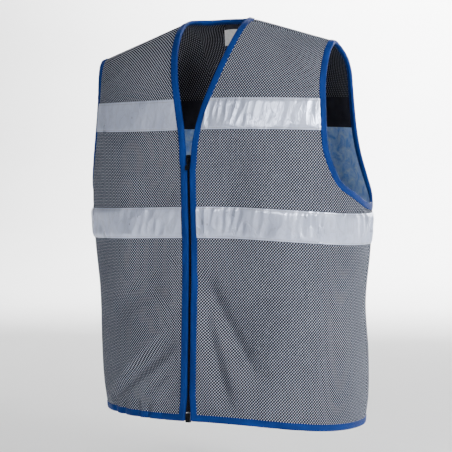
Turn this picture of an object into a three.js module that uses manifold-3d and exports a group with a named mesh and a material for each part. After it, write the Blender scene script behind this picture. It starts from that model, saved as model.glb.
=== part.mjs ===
// Cooling vest: a sleeveless vest of grey spacer mesh with a zip front, a V neck,
// blue folded bindings on every edge and two bands of silver reflective tape.
// Millimetres, +Z up. The front faces -Y and the wearer's left side is +X.
// The origin is midway between the shoulders, at the inner level of the shoulder seams.
import * as THREE from 'three';
import { mergeVertices } from 'three/addons/utils/BufferGeometryUtils.js';
import Module from 'manifold-3d';

// Overall sizes of the body
const LENGTH = 648;
const CHEST_HALF_WIDTH = 250;
const FRONT_DEPTH = 150;
const BACK_DEPTH = 115;
const SHOULDER_HALF = 206;
const SHOULDER_DROP = 49;
const SHOULDER_TILT = 4;
const SHOULDER_FORWARD = 14;
const SQUARENESS = 0.1;

// Cloth
const WALL = 3;
const CLOTH = 1;
const GAP = 0.3;
const SEAM_GAP = 0.4;
const SHOULDER_SEAM_GAP = 0.7;

// Edges of the panels
const BINDING_WIDTH = 10;
const NECK_HALF = 64;
const NECK_SHIFT = 5;
const V_BOTTOM = 410;
const BACK_NECK_DEPTH = 42;
const ARMPIT_HEIGHT = 346;
const ARMPIT_RISE = 12;
const SEAM_FORWARD = 14;

// Tapes, band and labels
const TAPE_WIDTH = 50;
const TAPE_BELOW_ARMPIT = 4;
const LOWER_TAPE_TOP = ARMPIT_HEIGHT - TAPE_BELOW_ARMPIT;
const UPPER_TAPE_TOP = 516;
const BACK_TAPE_RISE = 5;
const LABEL_WIDTH = 26;
const LABEL_OFFSET = 1;
const LABEL_BLACK_HEIGHT = 8;
const LABEL_WHITE_HEIGHT = 27;

// Zip
const ZIP_OPENING = 5;
const ZIP_TAPE_THICKNESS = 0.8;
const COIL_WIDTH = 2;
const COIL_THICKNESS = 2.2;
const SLIDER_HEIGHT = 420;
const SLIDER_WIDTH = 7.6;
const SLIDER_LENGTH = 11;
const SLIDER_PLATE = 1.2;
const BRIDGE_WIDTH = 1.6;
const BRIDGE_LENGTH = 7;
const BRIDGE_WINDOW = 2.2;
const BRIDGE_THICKNESS = 1;
const DIVIDER_WIDTH = 2;
const PULL_THICKNESS = 1.2;
const PULL_LENGTH = 20;
const PULL_EYE_REACH = 4.6;
const PULL_EYE_WIDTH = 2.6;
const PULL_BAR = 1.2;
const PULL_STEM_WIDTH = 3;
const PULL_END_WIDTH = 8;
const PULL_END_LENGTH = 8;
const BOX_WIDTH = 8;
const BOX_LENGTH = 15;
const BOX_THICKNESS = 6;
const BOX_DROP = 3;
const BOX_PROUD = 0.6;
const CHAMFER = 1;
const WELD = 0.2;

// Folds
const FOLD_WIDTH = 20;
const FOLD_DEPTH = 6;
const FOLD_RIM = 0.7;
const SIDE_BLEND = 0.2;
const SEAM_FADE = 0.2;

// Facets. The rows over the armpit crowd toward it by a power of their share of the way up.
const FRONT_COLUMNS = 11;
const BACK_COLUMNS = 17;
const NECK_COLUMNS = 5;
const BODY_ROWS = 10;
const CHEST_ROWS = 5;
const SHOULDER_ROWS = 6;
const YOKE_ROWS = 6;
const ARMPIT_CROWDING = 1.5;

// Cross sections from the hem to the ridge of the shoulders. height is a share of LENGTH, right and
// left of CHEST_HALF_WIDTH, front and back of their depths, and slope of the shoulder's slope. side
// is how far the side line lies behind the shoulder line and seamRight and seamLeft how far the side
// seams lie behind the side line, as shares of FRONT_DEPTH. dropRight and dropLeft are how far the
// row sinks at the sides, as shares of LENGTH.
const SECTION_COLUMNS = [
  'height', 'right', 'left', 'front', 'back', 'side',
  'dropRight', 'dropLeft', 'slope', 'seamRight', 'seamLeft',
];
const SECTIONS = [
  [0.000, 0.872, 0.918, 1.200, 1.080, 0.120, -0.008, 0.042, 0, -0.500, 0.070],
  [0.075, 0.902, 0.948, 1.165, 1.080, 0.120, -0.006, 0.040, 0, -0.420, 0.070],
  [0.180, 0.917, 0.957, 1.115, 1.050, 0.120, 0.000, 0.036, 0, -0.270, 0.070],
  [0.300, 0.930, 0.950, 1.060, 1.020, 0.120, 0.002, 0.032, 0, -0.080, 0.070],
  [0.440, 0.967, 0.996, 1.010, 1.000, 0.120, 0.003, 0.032, 0, 0.050, 0.070],
  [0.560, 0.972, 1.018, 0.990, 0.990, 0.110, 0.001, 0.030, 0, 0.070, 0.070],
  [0.680, 0.945, 0.990, 0.930, 0.970, 0.080, -0.008, 0.018, 0.02, 0.070, 0.070],
  [0.790, 0.920, 0.960, 0.800, 0.930, 0.050, -0.010, 0.009, 0.05, 0.070, 0.070],
  [0.870, 0.920, 0.960, 0.640, 0.860, 0.030, -0.004, 0.004, 0.38, 0.070, 0.070],
  [0.935, 0.920, 0.960, 0.440, 0.720, 0.010, 0.000, 0.000, 0.75, 0.070, 0.070],
  [0.980, 0.920, 0.960, 0.230, 0.450, 0.000, 0.000, 0.000, 0.95, 0.070, 0.070],
  [1.000, 0.920, 0.960, 0.000, 0.000, 0.000, 0.000, 0.000, 1, 0.070, 0.070],
].map((row) => Object.fromEntries(SECTION_COLUMNS.map((name, index) => [name, row[index]])));
const RIDGE = SECTIONS.length - 1;

// The last rows of SECTIONS, which turn over the shoulders
const SHOULDER_SECTIONS = 4;

// Half width of the V neck at the panel side of the binding: rise is the share of the way from the
// bottom of the V to the shoulder seam, half a share of NECK_HALF.
const V_NECK = [
  { rise: 0.00, half: 0.00 },
  { rise: 0.14, half: 0.12 },
  { rise: 0.42, half: 0.43 },
  { rise: 0.60, half: 0.66 },
  { rise: 0.80, half: 0.86 },
  { rise: 1.00, half: 1.00 },
];

// Panel side of the armhole bindings: rise is the share of the way from the armpit to the shoulder
// seam, the others are shares of the way from SHOULDER_HALF out to the side of the body.
const ARMHOLES = [
  { rise: 0.00, frontRight: 1.00, frontLeft: 1.00, back: 1.00 },
  { rise: 0.06, frontRight: 0.80, frontLeft: 0.78, back: 0.84 },
  { rise: 0.12, frontRight: 0.50, frontLeft: 0.48, back: 0.60 },
  { rise: 0.20, frontRight: 0.24, frontLeft: 0.30, back: 0.36 },
  { rise: 0.30, frontRight: 0.00, frontLeft: 0.12, back: 0.16 },
  { rise: 0.44, frontRight: -0.25, frontLeft: 0.02, back: 0.04 },
  { rise: 0.64, frontRight: -0.38, frontLeft: -0.06, back: 0.10 },
  { rise: 0.86, frontRight: -0.20, frontLeft: -0.04, back: 0.26 },
  { rise: 1.00, frontRight: 0.00, frontLeft: 0.00, back: 0.00 },
];

// Valleys pressed into the cloth, and swellings where depth is below 0. across is a share of
// CHEST_HALF_WIDTH, or on the sides of FRONT_DEPTH from front to back. height is a share of LENGTH,
// width of FOLD_WIDTH and depth of FOLD_DEPTH.
const FOLD_COLUMNS = ['face', 'across', 'height', 'toAcross', 'toHeight', 'width', 'depth'];
const FOLDS = [
  ['front', 0.07, 0.37, 0.50, 0.07, 1.3, 1.7],
  ['front', 0.08, 0.29, 0.30, 0.01, 0.8, 1.1],
  ['front', 0.28, 0.70, 0.28, 0.34, 2.0, 0.8],
  ['front', 0.60, 0.62, 0.62, 0.06, 2.4, -1.1],
  ['front', -0.50, 0.62, -0.52, 0.30, 2.2, -0.9],
  ['front', -0.52, 0.09, -0.10, 0.20, 0.9, 0.9],
  ['front', -0.62, 0.26, -0.20, 0.34, 1.1, 0.6],
  ['front', -0.40, 0.60, -0.10, 0.53, 1.0, 0.5],
  ['right', 0.00, 0.30, -0.48, -0.12, 1.5, 2.0],
  ['back', -0.60, 0.40, -0.25, 0.12, 1.6, 1.0],
  ['back', 0.60, 0.40, 0.25, 0.12, 1.6, 1.0],
  ['back', -0.10, 0.62, -0.10, 0.18, 1.8, 0.7],
].map((row) => Object.fromEntries(FOLD_COLUMNS.map((name, index) => [name, row[index]])));

const clamp = (value, low, high) => Math.min(high, Math.max(low, value));
const mix = (from, to, share) => from + (to - from) * share;

function catmullRom(before, from, to, after, share) {
  const slopeFrom = (to - before) / 2;
  const slopeTo = (after - from) / 2;
  const square = share * share;
  const cube = square * share;
  return (2 * cube - 3 * square + 1) * from + (cube - 2 * square + share) * slopeFrom
    + (3 * square - 2 * cube) * to + (cube - square) * slopeTo;
}

// A column of SECTIONS at a row between 0 and RIDGE. Depths change sign over the ridge.
function sectionValue(name, row) {
  const index = clamp(Math.floor(row), 0, RIDGE - 1);
  const sign = name === 'front' || name === 'back' ? -1 : 1;
  const before = index > 0 ? SECTIONS[index - 1][name] : 2 * SECTIONS[0][name] - SECTIONS[1][name];
  const after = index + 2 > RIDGE ? sign * SECTIONS[RIDGE - 1][name] : SECTIONS[index + 2][name];
  return catmullRom(before, SECTIONS[index][name], SECTIONS[index + 1][name], after, row - index);
}

// A table read at a key that rises from row to row, with a smooth curve through its points.
function tableValue(table, key, name, at) {
  const last = table.length - 1;
  let index = 0;
  while (index < last - 1 && table[index + 1][key] < at) index += 1;
  const slope = (i) => {
    const low = table[Math.max(i - 1, 0)];
    const high = table[Math.min(i + 1, last)];
    return (high[name] - low[name]) / (high[key] - low[key]);
  };
  const from = table[index];
  const to = table[index + 1];
  const span = to[key] - from[key];
  const share = clamp((at - from[key]) / span, 0, 1);
  const square = share * share;
  const cube = square * share;
  return (2 * cube - 3 * square + 1) * from[name] + (cube - 2 * square + share) * span * slope(index)
    + (3 * square - 2 * cube) * to[name] + (cube - square) * span * slope(index + 1);
}

function bisect(low, high, above) {
  let from = low;
  let to = high;
  for (let step = 0; step < 40; step += 1) {
    const middle = (from + to) / 2;
    if (above(middle)) to = middle;
    else from = middle;
  }
  return (from + to) / 2;
}

// The row whose height above the hem, before droop and slope, is the one given
function rowAtHeight(height) {
  return bisect(0, RIDGE, (row) => sectionValue('height', row) * LENGTH > height);
}

const slopeReach = (x) => Math.hypot(x, NECK_HALF / 2) - Math.hypot(NECK_HALF, NECK_HALF / 2);

// The body before it is folded. angle runs round the section: -90 degrees is the centre front,
// 0 the left side, 90 the centre back and 180 the right side.
function plainPoint(angle, row) {
  if (row > RIDGE) return plainPoint(-angle, 2 * RIDGE - row);
  const across = Math.cos(angle);
  const along = Math.sin(angle);
  const isRight = across < 0;
  const half = sectionValue(isRight ? 'right' : 'left', row) * CHEST_HALF_WIDTH;
  const isFront = along < 0;
  const depth = sectionValue(isFront ? 'front' : 'back', row) * (isFront ? FRONT_DEPTH : BACK_DEPTH);
  const x = half * across * (1 + SQUARENESS * along * along);
  const slope = sectionValue('slope', row);
  const reach = slopeReach(x) / (SHOULDER_HALF - NECK_HALF);
  const forward = SHOULDER_FORWARD * slope * reach;
  const bulge = depth * along * (1 + SQUARENESS * across * across);
  const y = sectionValue('side', row) * FRONT_DEPTH + bulge - forward;
  const drop = sectionValue(isRight ? 'dropRight' : 'dropLeft', row) * LENGTH * (x / half) ** 2;
  const tilt = SHOULDER_TILT * slope * (x / SHOULDER_HALF);
  const z = sectionValue('height', row) * LENGTH - drop + tilt - SHOULDER_DROP * slope * reach;
  return new THREE.Vector3(x, y, z);
}

function normalOf(surface, angle, row) {
  const stepAngle = 0.004;
  const stepRow = 0.004;
  const across = surface(angle + stepAngle, row).sub(surface(angle - stepAngle, row));
  const up = surface(angle, row + stepRow).sub(surface(angle, row - stepRow));
  return across.cross(up).normalize();
}

// How much a face of the body owns a point: the faces fade into each other round the body
function faceShare(face, across, facing) {
  const toward = { front: facing, back: -facing, right: -across, left: across }[face];
  const start = face === 'front' || face === 'back' ? -SIDE_BLEND : 1 - 2 * SIDE_BLEND;
  return THREE.MathUtils.smoothstep(toward, start, start + 2 * SIDE_BLEND);
}

function foldDepth(point, across, facing) {
  let depth = 0;
  for (const fold of FOLDS) {
    const isFlat = fold.face === 'front' || fold.face === 'back';
    const reach = isFlat ? CHEST_HALF_WIDTH : FRONT_DEPTH;
    const start = fold.across * reach;
    const startZ = fold.height * LENGTH;
    const run = fold.toAcross * reach - start;
    const runZ = fold.toHeight * LENGTH - startZ;
    const away = (isFlat ? point.x : point.y) - start;
    const along = clamp((away * run + (point.z - startZ) * runZ) / (run ** 2 + runZ ** 2), 0, 1);
    const reachAcross = (away - along * run) / (fold.width * FOLD_WIDTH);
    const reachUp = (point.z - startZ - along * runZ) / (fold.width * FOLD_WIDTH);
    const spread = reachAcross ** 2 + reachUp ** 2;
    const ends = 1 - (2 * along - 1) ** 4;
    const shape = ends * (1 - FOLD_RIM * spread) * Math.exp(-spread);
    depth += fold.depth * FOLD_DEPTH * shape * faceShare(fold.face, across, facing);
  }
  return depth;
}

// The outer face of the cloth
function bodyPoint(angle, row) {
  const point = plainPoint(angle, row);
  const facing = row > RIDGE ? Math.sin(angle) : -Math.sin(angle);
  return point.addScaledVector(normalOf(plainPoint, angle, row), -foldDepth(point, Math.cos(angle), facing));
}

// The angle at which the section of a row reaches a half width x, on the front or the back
function angleAtX(x, row, face) {
  const level = row > RIDGE ? 2 * RIDGE - row : row;
  const half = sectionValue(x < 0 ? 'right' : 'left', level) * CHEST_HALF_WIDTH;
  const target = Math.min(Math.abs(x) / half, 1);
  const turn = bisect(0, Math.PI / 2, (a) => Math.cos(a) * (1 + SQUARENESS * Math.sin(a) ** 2) < target);
  const fromSide = x < 0 ? Math.PI - turn : turn;
  return face > 0 ? -fromSide : fromSide;
}

const cell = (angle, row) => {
  const normal = normalOf(bodyPoint, angle, row);
  return { angle, row, point: bodyPoint(angle, row), normal };
};

// How far the angle and the row change for one millimetre across and up the cloth
function perMillimetre(angle, row) {
  const step = 0.01;
  const across = bodyPoint(angle + step, row).distanceTo(bodyPoint(angle - step, row)) / (2 * step);
  const up = bodyPoint(angle, row + step).distanceTo(bodyPoint(angle, row - step)) / (2 * step);
  return { angle: 1 / across, row: 1 / up };
}

// The point of the cloth that lies a distance from a line over it, to the left of the line's run
function besideLine(line, at, distance) {
  const step = 0.02;
  const [angle, row] = line(at);
  const [nextAngle, nextRow] = line(at + step);
  const [lastAngle, lastRow] = line(at - step);
  const scale = perMillimetre(angle, row);
  const runAcross = (nextAngle - lastAngle) / scale.angle;
  const runUp = (nextRow - lastRow) / scale.row;
  const length = Math.hypot(runAcross, runUp);
  const turn = (runUp / length) * distance * scale.angle;
  return [angle - turn, row + (runAcross / length) * distance * scale.row];
}

// Rows that the panels share
const tapeRows = (top) => [top - TAPE_WIDTH, top - TAPE_WIDTH / 2, top].map(rowAtHeight);
const bindingRow = rowAtHeight(BINDING_WIDTH);
const lowerTapeRows = tapeRows(LOWER_TAPE_TOP);
const upperTapeRows = tapeRows(UPPER_TAPE_TOP);
const backTapeRows = tapeRows(UPPER_TAPE_TOP + BACK_TAPE_RISE);
const armpitRow = rowAtHeight(ARMPIT_HEIGHT);
const atNeck = (row) => [angleAtX(NECK_HALF, row, 1), row];
const shoulderStart = RIDGE - SHOULDER_SECTIONS;
const seamRow = bisect(shoulderStart, RIDGE, (row) => plainPoint(...atNeck(row)).y > -SEAM_FORWARD);
const seamHalfGap = (SHOULDER_SEAM_GAP / 2) * perMillimetre(...atNeck(seamRow)).row;
const frontTopRow = seamRow - seamHalfGap;
const backTopRow = 2 * RIDGE - seamRow - seamHalfGap;
const seamHeight = sectionValue('height', seamRow) * LENGTH;

// The lining stops just under the inner band
const liningTopRow = backTapeRows[0];

function spaced(from, to, count) {
  return Array.from({ length: count + 1 }, (unused, index) => mix(from, to, index / count));
}

// The rows of a panel from the hem to its last tape, every stretch in equal steps
function panelRows(lastTape) {
  const stops = [[0, bindingRow, 1], [bindingRow, lowerTapeRows[0], BODY_ROWS]];
  const stretches = stops.map(([from, to, count]) => spaced(from, to, count).slice(0, -1)).flat();
  const overTape = spaced(lowerTapeRows[2], armpitRow, 1).slice(0, -1);
  const chest = spaced(0, 1, CHEST_ROWS).slice(0, -1);
  const toTape = chest.map((share) => mix(armpitRow, lastTape[0], share ** ARMPIT_CROWDING));
  return [...stretches, lowerTapeRows[0], lowerTapeRows[1], ...overTape, ...toTape, ...lastTape];
}

// Half the opening between the folded edges of the fronts, wider beside the slider and the box
function frontOpening(height) {
  const beside = (width) => width / 2 + 2 * GAP - ZIP_OPENING / 2;
  const boxTop = BOX_LENGTH - BOX_DROP;
  const boxFade = THREE.MathUtils.smoothstep(height, boxTop, boxTop + 2 * BOX_LENGTH);
  const box = beside(BOX_WIDTH) * (1 - boxFade);
  const sliderEnd = SLIDER_HEIGHT - SLIDER_LENGTH / 2;
  const sliderRise = THREE.MathUtils.smoothstep(height, sliderEnd - SLIDER_LENGTH, sliderEnd);
  const slider = beside(SLIDER_WIDTH) * sliderRise;
  return ZIP_OPENING / 2 + box + slider;
}

// The share of the way up the V neck, from its bottom to the shoulder seam
function neckRise(row) {
  const height = sectionValue('height', row) * LENGTH;
  return clamp((height - V_BOTTOM) / (seamHeight - V_BOTTOM), 0, 1);
}

// The half width at the panel side of the front binding. Higher up the neck sits NECK_SHIFT off the
// middle.
function frontInnerX(row) {
  const opening = frontOpening(sectionValue('height', row) * LENGTH);
  const neck = NECK_HALF * tableValue(V_NECK, 'rise', 'half', neckRise(row));
  return Math.hypot(opening + GAP + CLOTH + BINDING_WIDTH, neck);
}

const neckMiddle = (row) => NECK_SHIFT * neckRise(row) ** 2;
const frontLine = (side) => (row) => {
  const x = neckMiddle(row) + side * frontInnerX(row);
  return [angleAtX(x, row, 1), row];
};

// The angle of the side seam at a row, as seen from a face, with its share of the seam gap
function seamAngle(side, face, row) {
  const middle = side > 0 ? 0 : Math.PI;
  const offset = sectionValue(side > 0 ? 'seamLeft' : 'seamRight', row) * FRONT_DEPTH;
  const turn = offset * perMillimetre(middle, row).angle;
  const seam = side > 0 ? turn : -face * Math.PI - turn;
  return seam - side * face * (SEAM_GAP / 2) * perMillimetre(seam, row).angle;
}

// The outer edge of a panel's main cloth: the side seam, then the panel side of the armhole binding
const outerLine = (side, face) => (row) => {
  if (row <= armpitRow) return [seamAngle(side, face, row), row];
  const seam = seamAngle(side, face, armpitRow);
  const level = row > RIDGE ? 2 * RIDGE - row : row;
  const height = sectionValue('height', level) * LENGTH;
  const top = row > RIDGE ? 1 : clamp((height - ARMPIT_HEIGHT) / (seamHeight - ARMPIT_HEIGHT), 0, 1);
  const frontColumn = side > 0 ? 'frontLeft' : 'frontRight';
  const share = tableValue(ARMHOLES, 'rise', face > 0 ? frontColumn : 'back', top);
  const half = sectionValue(side > 0 ? 'left' : 'right', level) * CHEST_HALF_WIDTH;
  const x = Math.min(mix(SHOULDER_HALF, half, share), half);
  const rest = side > 0 ? 0 : -face * Math.PI;
  const fade = (1 - clamp(top / SEAM_FADE, 0, 1)) ** 2;
  return [angleAtX(side * x, row, face) + (seam - rest) * fade, row];
};

// Each sheet of cloth is a list of triangles between shared cells
function newSheet() {
  return { cells: [], triangles: [] };
}

function addCell(sheet, item) {
  let index = sheet.cells.indexOf(item);
  if (index < 0) index = sheet.cells.push(item) - 1;
  return index;
}

// Adds a grid of cells, rows upward, whose columns run either way round the body
function addGrid(sheet, grid) {
  const across = grid[0][1].point.clone().sub(grid[0][0].point);
  const up = grid[1][0].point.clone().sub(grid[0][0].point);
  const outward = across.cross(up).dot(grid[0][0].normal) > 0;
  for (let j = 0; j + 1 < grid.length; j += 1) {
    for (let i = 0; i + 1 < grid[j].length; i += 1) {
      const corners = [grid[j][i], grid[j][i + 1], grid[j + 1][i + 1], grid[j + 1][i]];
      const [a, b, c, d] = corners.map((item) => addCell(sheet, item));
      if (outward) sheet.triangles.push([a, b, c], [a, c, d]);
      else sheet.triangles.push([a, c, b], [a, d, c]);
    }
  }
  return sheet;
}

function geometryFrom(points, triangles) {
  const geometry = new THREE.BufferGeometry();
  const positions = new Float32Array(points.flatMap(({ x, y, z }) => [x, y, z]));
  geometry.setAttribute('position', new THREE.BufferAttribute(positions, 3));
  geometry.setIndex(triangles.flat());
  return geometry;
}

// Gives a sheet its thickness: the solid between two distances from the outer face of the cloth
function thicken(sheet, low, high) {
  const count = sheet.cells.length;
  const shifted = (distance) => sheet.cells.map(({ point, normal }) => (
    point.clone().addScaledVector(normal, distance)
  ));
  const triangles = [];
  const borders = new Map();
  for (const [a, b, c] of sheet.triangles) {
    triangles.push([a, b, c], [a + count, c + count, b + count]);
    for (const [from, to] of [[a, b], [b, c], [c, a]]) {
      if (!borders.delete(`${to},${from}`)) borders.set(`${from},${to}`, [from, to]);
    }
  }
  for (const [from, to] of borders.values()) {
    triangles.push([to, from, from + count], [to, from + count, to + count]);
  }
  return geometryFrom([...shifted(high), ...shifted(low)], triangles);
}

// Sweeps a ring of points from station to station. Open sweeps get caps made of the given quads.
// A quad is split from the point here to the next one there, or the other way where turned says so.
function sweep(rings, { caps = null, turned = () => false }) {
  const size = rings[0].length;
  const triangles = [];
  const count = caps ? rings.length - 1 : rings.length;
  for (let j = 0; j < count; j += 1) {
    const here = j * size;
    const next = ((j + 1) % rings.length) * size;
    for (let i = 0; i < size; i += 1) {
      const k = (i + 1) % size;
      if (turned(j, i)) triangles.push([here + i, next + i, here + k], [next + i, next + k, here + k]);
      else triangles.push([here + i, next + i, next + k], [here + i, next + k, here + k]);
    }
  }
  if (caps) {
    const last = (rings.length - 1) * size;
    for (const [a, b, c, d] of caps) {
      triangles.push([a, b, c], [a, c, d]);
      triangles.push([last + a, last + c, last + b], [last + a, last + d, last + c]);
    }
  }
  const geometry = geometryFrom(rings.flat(), triangles);
  return signedVolume(geometry) > 0 ? geometry : flipped(geometry);
}

function signedVolume(geometry) {
  const position = geometry.getAttribute('position');
  const index = geometry.getIndex().array;
  const [a, b, c] = [new THREE.Vector3(), new THREE.Vector3(), new THREE.Vector3()];
  let volume = 0;
  for (let i = 0; i < index.length; i += 3) {
    a.fromBufferAttribute(position, index[i]);
    b.fromBufferAttribute(position, index[i + 1]);
    c.fromBufferAttribute(position, index[i + 2]);
    volume += a.dot(b.cross(c)) / 6;
  }
  return volume;
}

function flipped(geometry) {
  const index = geometry.getIndex().array;
  const turned = [];
  for (let i = 0; i < index.length; i += 3) turned.push(index[i], index[i + 2], index[i + 1]);
  geometry.setIndex(turned);
  return geometry;
}

// The fronts
function frontPanel(side) {
  const shoulder = spaced(upperTapeRows[2], frontTopRow, SHOULDER_ROWS).slice(1);
  const rows = [...panelRows(upperTapeRows), ...shoulder];
  const inner = frontLine(side);
  const outer = outerLine(side, 1);
  const shares = spaced(0, 1, FRONT_COLUMNS);
  const main = rows.map((row) => shares.map((share) => cell(mix(inner(row)[0], outer(row)[0], share), row)));
  const edge = rows.map((row) => cell(...besideLine(inner, row, side * BINDING_WIDTH)));
  const arm = armholeEdge(rows, outer, side, 1);
  const sheet = newSheet();
  addGrid(sheet, rows.map((row, j) => [main[j][0], edge[j]]));
  addGrid(sheet, main);
  const first = rows.indexOf(armpitRow);
  addGrid(sheet, arm.map((item, j) => [main[first + j].at(-1), item]));
  return { rows, main, edge, arm, sheet };
}

// The cut edge of an armhole, one cell for each row from the armpit up
function armholeEdge(rows, outer, side, face) {
  return rows.filter((row) => row >= armpitRow).map((row) => {
    if (row > armpitRow) return cell(...besideLine(outer, row, -face * side * BINDING_WIDTH));
    const [angle] = outer(row);
    return cell(angle, row + ARMPIT_RISE * perMillimetre(angle, row).row);
  });
}

// The panel side of the back neck binding, from the right shoulder seam to the left one
const neckDepth = BACK_NECK_DEPTH + BINDING_WIDTH;
const neckInnerRow = bisect(shoulderStart, RIDGE, (row) => plainPoint(Math.PI / 2, row).y < neckDepth);
function neckLine(turn) {
  const x = NECK_SHIFT + frontInnerX(frontTopRow) * Math.sin(turn);
  const row = mix(neckInnerRow, backTopRow, 1 - Math.cos(turn));
  return [angleAtX(x, row, -1), row];
}

// The back. Its columns end on the neck line in the middle and on the shoulder seams beside it.
function backPanel() {
  const outer = { left: outerLine(1, -1), right: outerLine(-1, -1) };
  const centre = Math.PI / 2;
  const angleAt = (share, row) => {
    const [edgeAngle] = (share < 0 ? outer.right : outer.left)(row);
    return mix(centre, edgeAngle, Math.abs(share));
  };
  const shareAt = (angle, row) => {
    const [edgeAngle] = (angle > centre ? outer.right : outer.left)(row);
    return (Math.sign(centre - angle) * (angle - centre)) / (edgeAngle - centre);
  };
  const neck = spaced(-Math.PI / 2, Math.PI / 2, NECK_COLUMNS).map((turn) => {
    const [angle, row] = neckLine(turn);
    return { share: shareAt(angle, row), row, turn };
  });
  const shoulderColumns = (BACK_COLUMNS - NECK_COLUMNS) / 2;
  const shoulder = (from, to) => (
    spaced(from, to, shoulderColumns).map((share) => ({ share, row: backTopRow }))
  );
  const columns = [
    ...shoulder(-1, neck[0].share).slice(0, -1),
    ...neck,
    ...shoulder(neck.at(-1).share, 1).slice(1),
  ];
  const lower = panelRows(backTapeRows);
  const base = lower.at(-1);
  const yoke = spaced(0, 1, YOKE_ROWS).slice(1);
  const main = lower.map((row) => columns.map(({ share }) => cell(angleAt(share, row), row)));
  for (const lift of yoke) {
    main.push(columns.map((column) => {
      const row = mix(base, column.row, lift);
      return cell(angleAt(column.share, row), row);
    }));
  }
  const rows = [...lower, ...yoke.map((lift) => mix(base, backTopRow, lift))];
  const first = lower.indexOf(armpitRow);
  const armRight = armholeEdge(rows, outer.right, -1, -1);
  const armLeft = armholeEdge(rows, outer.left, 1, -1);
  const neckEdge = neck.map(({ turn }) => cell(...besideLine(neckLine, turn, -BINDING_WIDTH)));
  const neckInner = main.at(-1).slice(shoulderColumns, shoulderColumns + NECK_COLUMNS + 1);
  const sheet = newSheet();
  addGrid(sheet, main);
  addGrid(sheet, armRight.map((item, j) => [main[first + j][0], item]));
  addGrid(sheet, armLeft.map((item, j) => [main[first + j].at(-1), item]));
  addGrid(sheet, [neckInner, neckEdge]);
  return { rows, main, armRight, armLeft, neckEdge, neckInner, sheet };
}

const fronts = { right: frontPanel(-1), left: frontPanel(1) };
const back = backPanel();

const between = (from, to, share) => ({
  point: from.point.clone().lerp(to.point, share),
  normal: from.normal.clone().lerp(to.normal, share).normalize(),
});
const nudged = (item, toward, distance) => (
  between(item, toward, distance / item.point.distanceTo(toward.point))
);

// The part of a panel's grid between two of its rows, cut short of the upper one by a distance
function bandOf(panel, rows, short = 0) {
  const from = panel.rows.indexOf(rows[0]);
  const to = panel.rows.indexOf(rows.at(-1));
  const top = panel.main[to].map((item, i) => nudged(item, panel.main[to - 1][i], short));
  return addGrid(newSheet(), [...panel.main.slice(from, to), top]);
}

// The folded strip round an edge: two legs and the fold that joins them, as one ring of points
function bindingRing({ edge, inner }) {
  const out = edge.point.clone().sub(inner.point).normalize();
  const off = ({ point, normal }, beyond, distance) => (
    point.clone().addScaledVector(out, beyond).addScaledVector(normal, distance)
  );
  const legEnd = (distance) => off(inner, GAP, distance);
  const fold = (distance, beyond) => off(edge, beyond, distance);
  const outside = [GAP, GAP + CLOTH];
  const inside = [-WALL - GAP, -WALL - GAP - CLOTH];
  return [
    legEnd(outside[1]), fold(outside[1], GAP), fold(outside[0], GAP + CLOTH),
    fold(inside[0], GAP + CLOTH), fold(inside[1], GAP), legEnd(inside[1]),
    legEnd(inside[0]), fold(inside[0], GAP), fold(outside[0], GAP), legEnd(outside[0]),
  ];
}
const BINDING_CAPS = [[0, 1, 8, 9], [1, 2, 3, 8], [8, 3, 4, 7], [7, 4, 5, 6]];
const FOLD_TO_LEG = [4, 8];

// The legs are split into triangles as the panel between them is, so that they lie flat on it.
// rising says that the panel's split runs from the inner line here to the edge at the next station.
function binding(stations, isLoop) {
  const turned = (j, i) => FOLD_TO_LEG.includes(i) === stations[j].rising;
  return sweep(stations.map(bindingRing), { caps: isLoop ? null : BINDING_CAPS, turned });
}

const backward = (stations) => stations.map((station) => ({ ...station, rising: !station.rising })).reverse();

function armStations(panel, arm, column) {
  const first = panel.rows.indexOf(armpitRow);
  return arm.map((edge, j) => ({ edge, inner: panel.main[first + j].at(column), rising: true }));
}

function armholeBinding(front, armBack, backColumn) {
  const behind = backward(armStations(back, armBack, backColumn));
  return binding([...armStations(front, front.arm, -1), ...behind], true);
}

const edgeStations = (front) => front.rows.map((row, j) => ({
  row, edge: front.edge[j], inner: front.main[j][0], rising: true,
}));

function neckBinding() {
  const round = back.neckEdge.map((edge, i) => ({ edge, inner: back.neckInner[i], rising: true }));
  const down = backward(edgeStations(fronts.left));
  return binding([...edgeStations(fronts.right), ...round, ...down], false);
}

function hemBinding() {
  const stations = ({ main }) => main[0].map((edge, i) => ({ edge, inner: main[1][i], rising: false }));
  return binding([...stations(fronts.right), ...stations(back), ...backward(stations(fronts.left))], false);
}

// Zip. The stations are the front edge's own, cut to the stretch between the box and the slider.
function zipStations(front, from, to) {
  const all = edgeStations(front);
  const at = (row) => {
    const index = all.findIndex((station, j) => all[j + 1] && all[j + 1].row >= row);
    const [low, high] = [all[index], all[index + 1]];
    const share = (row - low.row) / (high.row - low.row);
    const blend = (name) => between(low[name], high[name], share);
    return { row, edge: blend('edge'), inner: blend('inner') };
  };
  return [at(from), ...all.filter(({ row }) => row > from && row < to), at(to)];
}

const BAR_CAPS = [[0, 1, 2, 3]];
const tapeFace = -WALL - 2 * GAP - CLOTH;
const boxRow = rowAtHeight(BOX_LENGTH - BOX_DROP + GAP);
const zipTopRow = rowAtHeight(SLIDER_HEIGHT);

// A bar along a front edge between two half widths from the centre and two depths in the cloth
function zipBar(front, side, fromX, toX, high, low) {
  const at = ({ edge, inner }, x, distance) => {
    if (x === null) return inner.point.clone().addScaledVector(inner.normal, distance);
    return edge.point.clone().addScaledVector(edge.normal, distance).setX(side * x);
  };
  const rings = zipStations(front, boxRow, zipTopRow).map((station) => [
    at(station, toX, high), at(station, fromX, high), at(station, fromX, low), at(station, toX, low),
  ]);
  return sweep(rings, { caps: BAR_CAPS });
}

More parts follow.
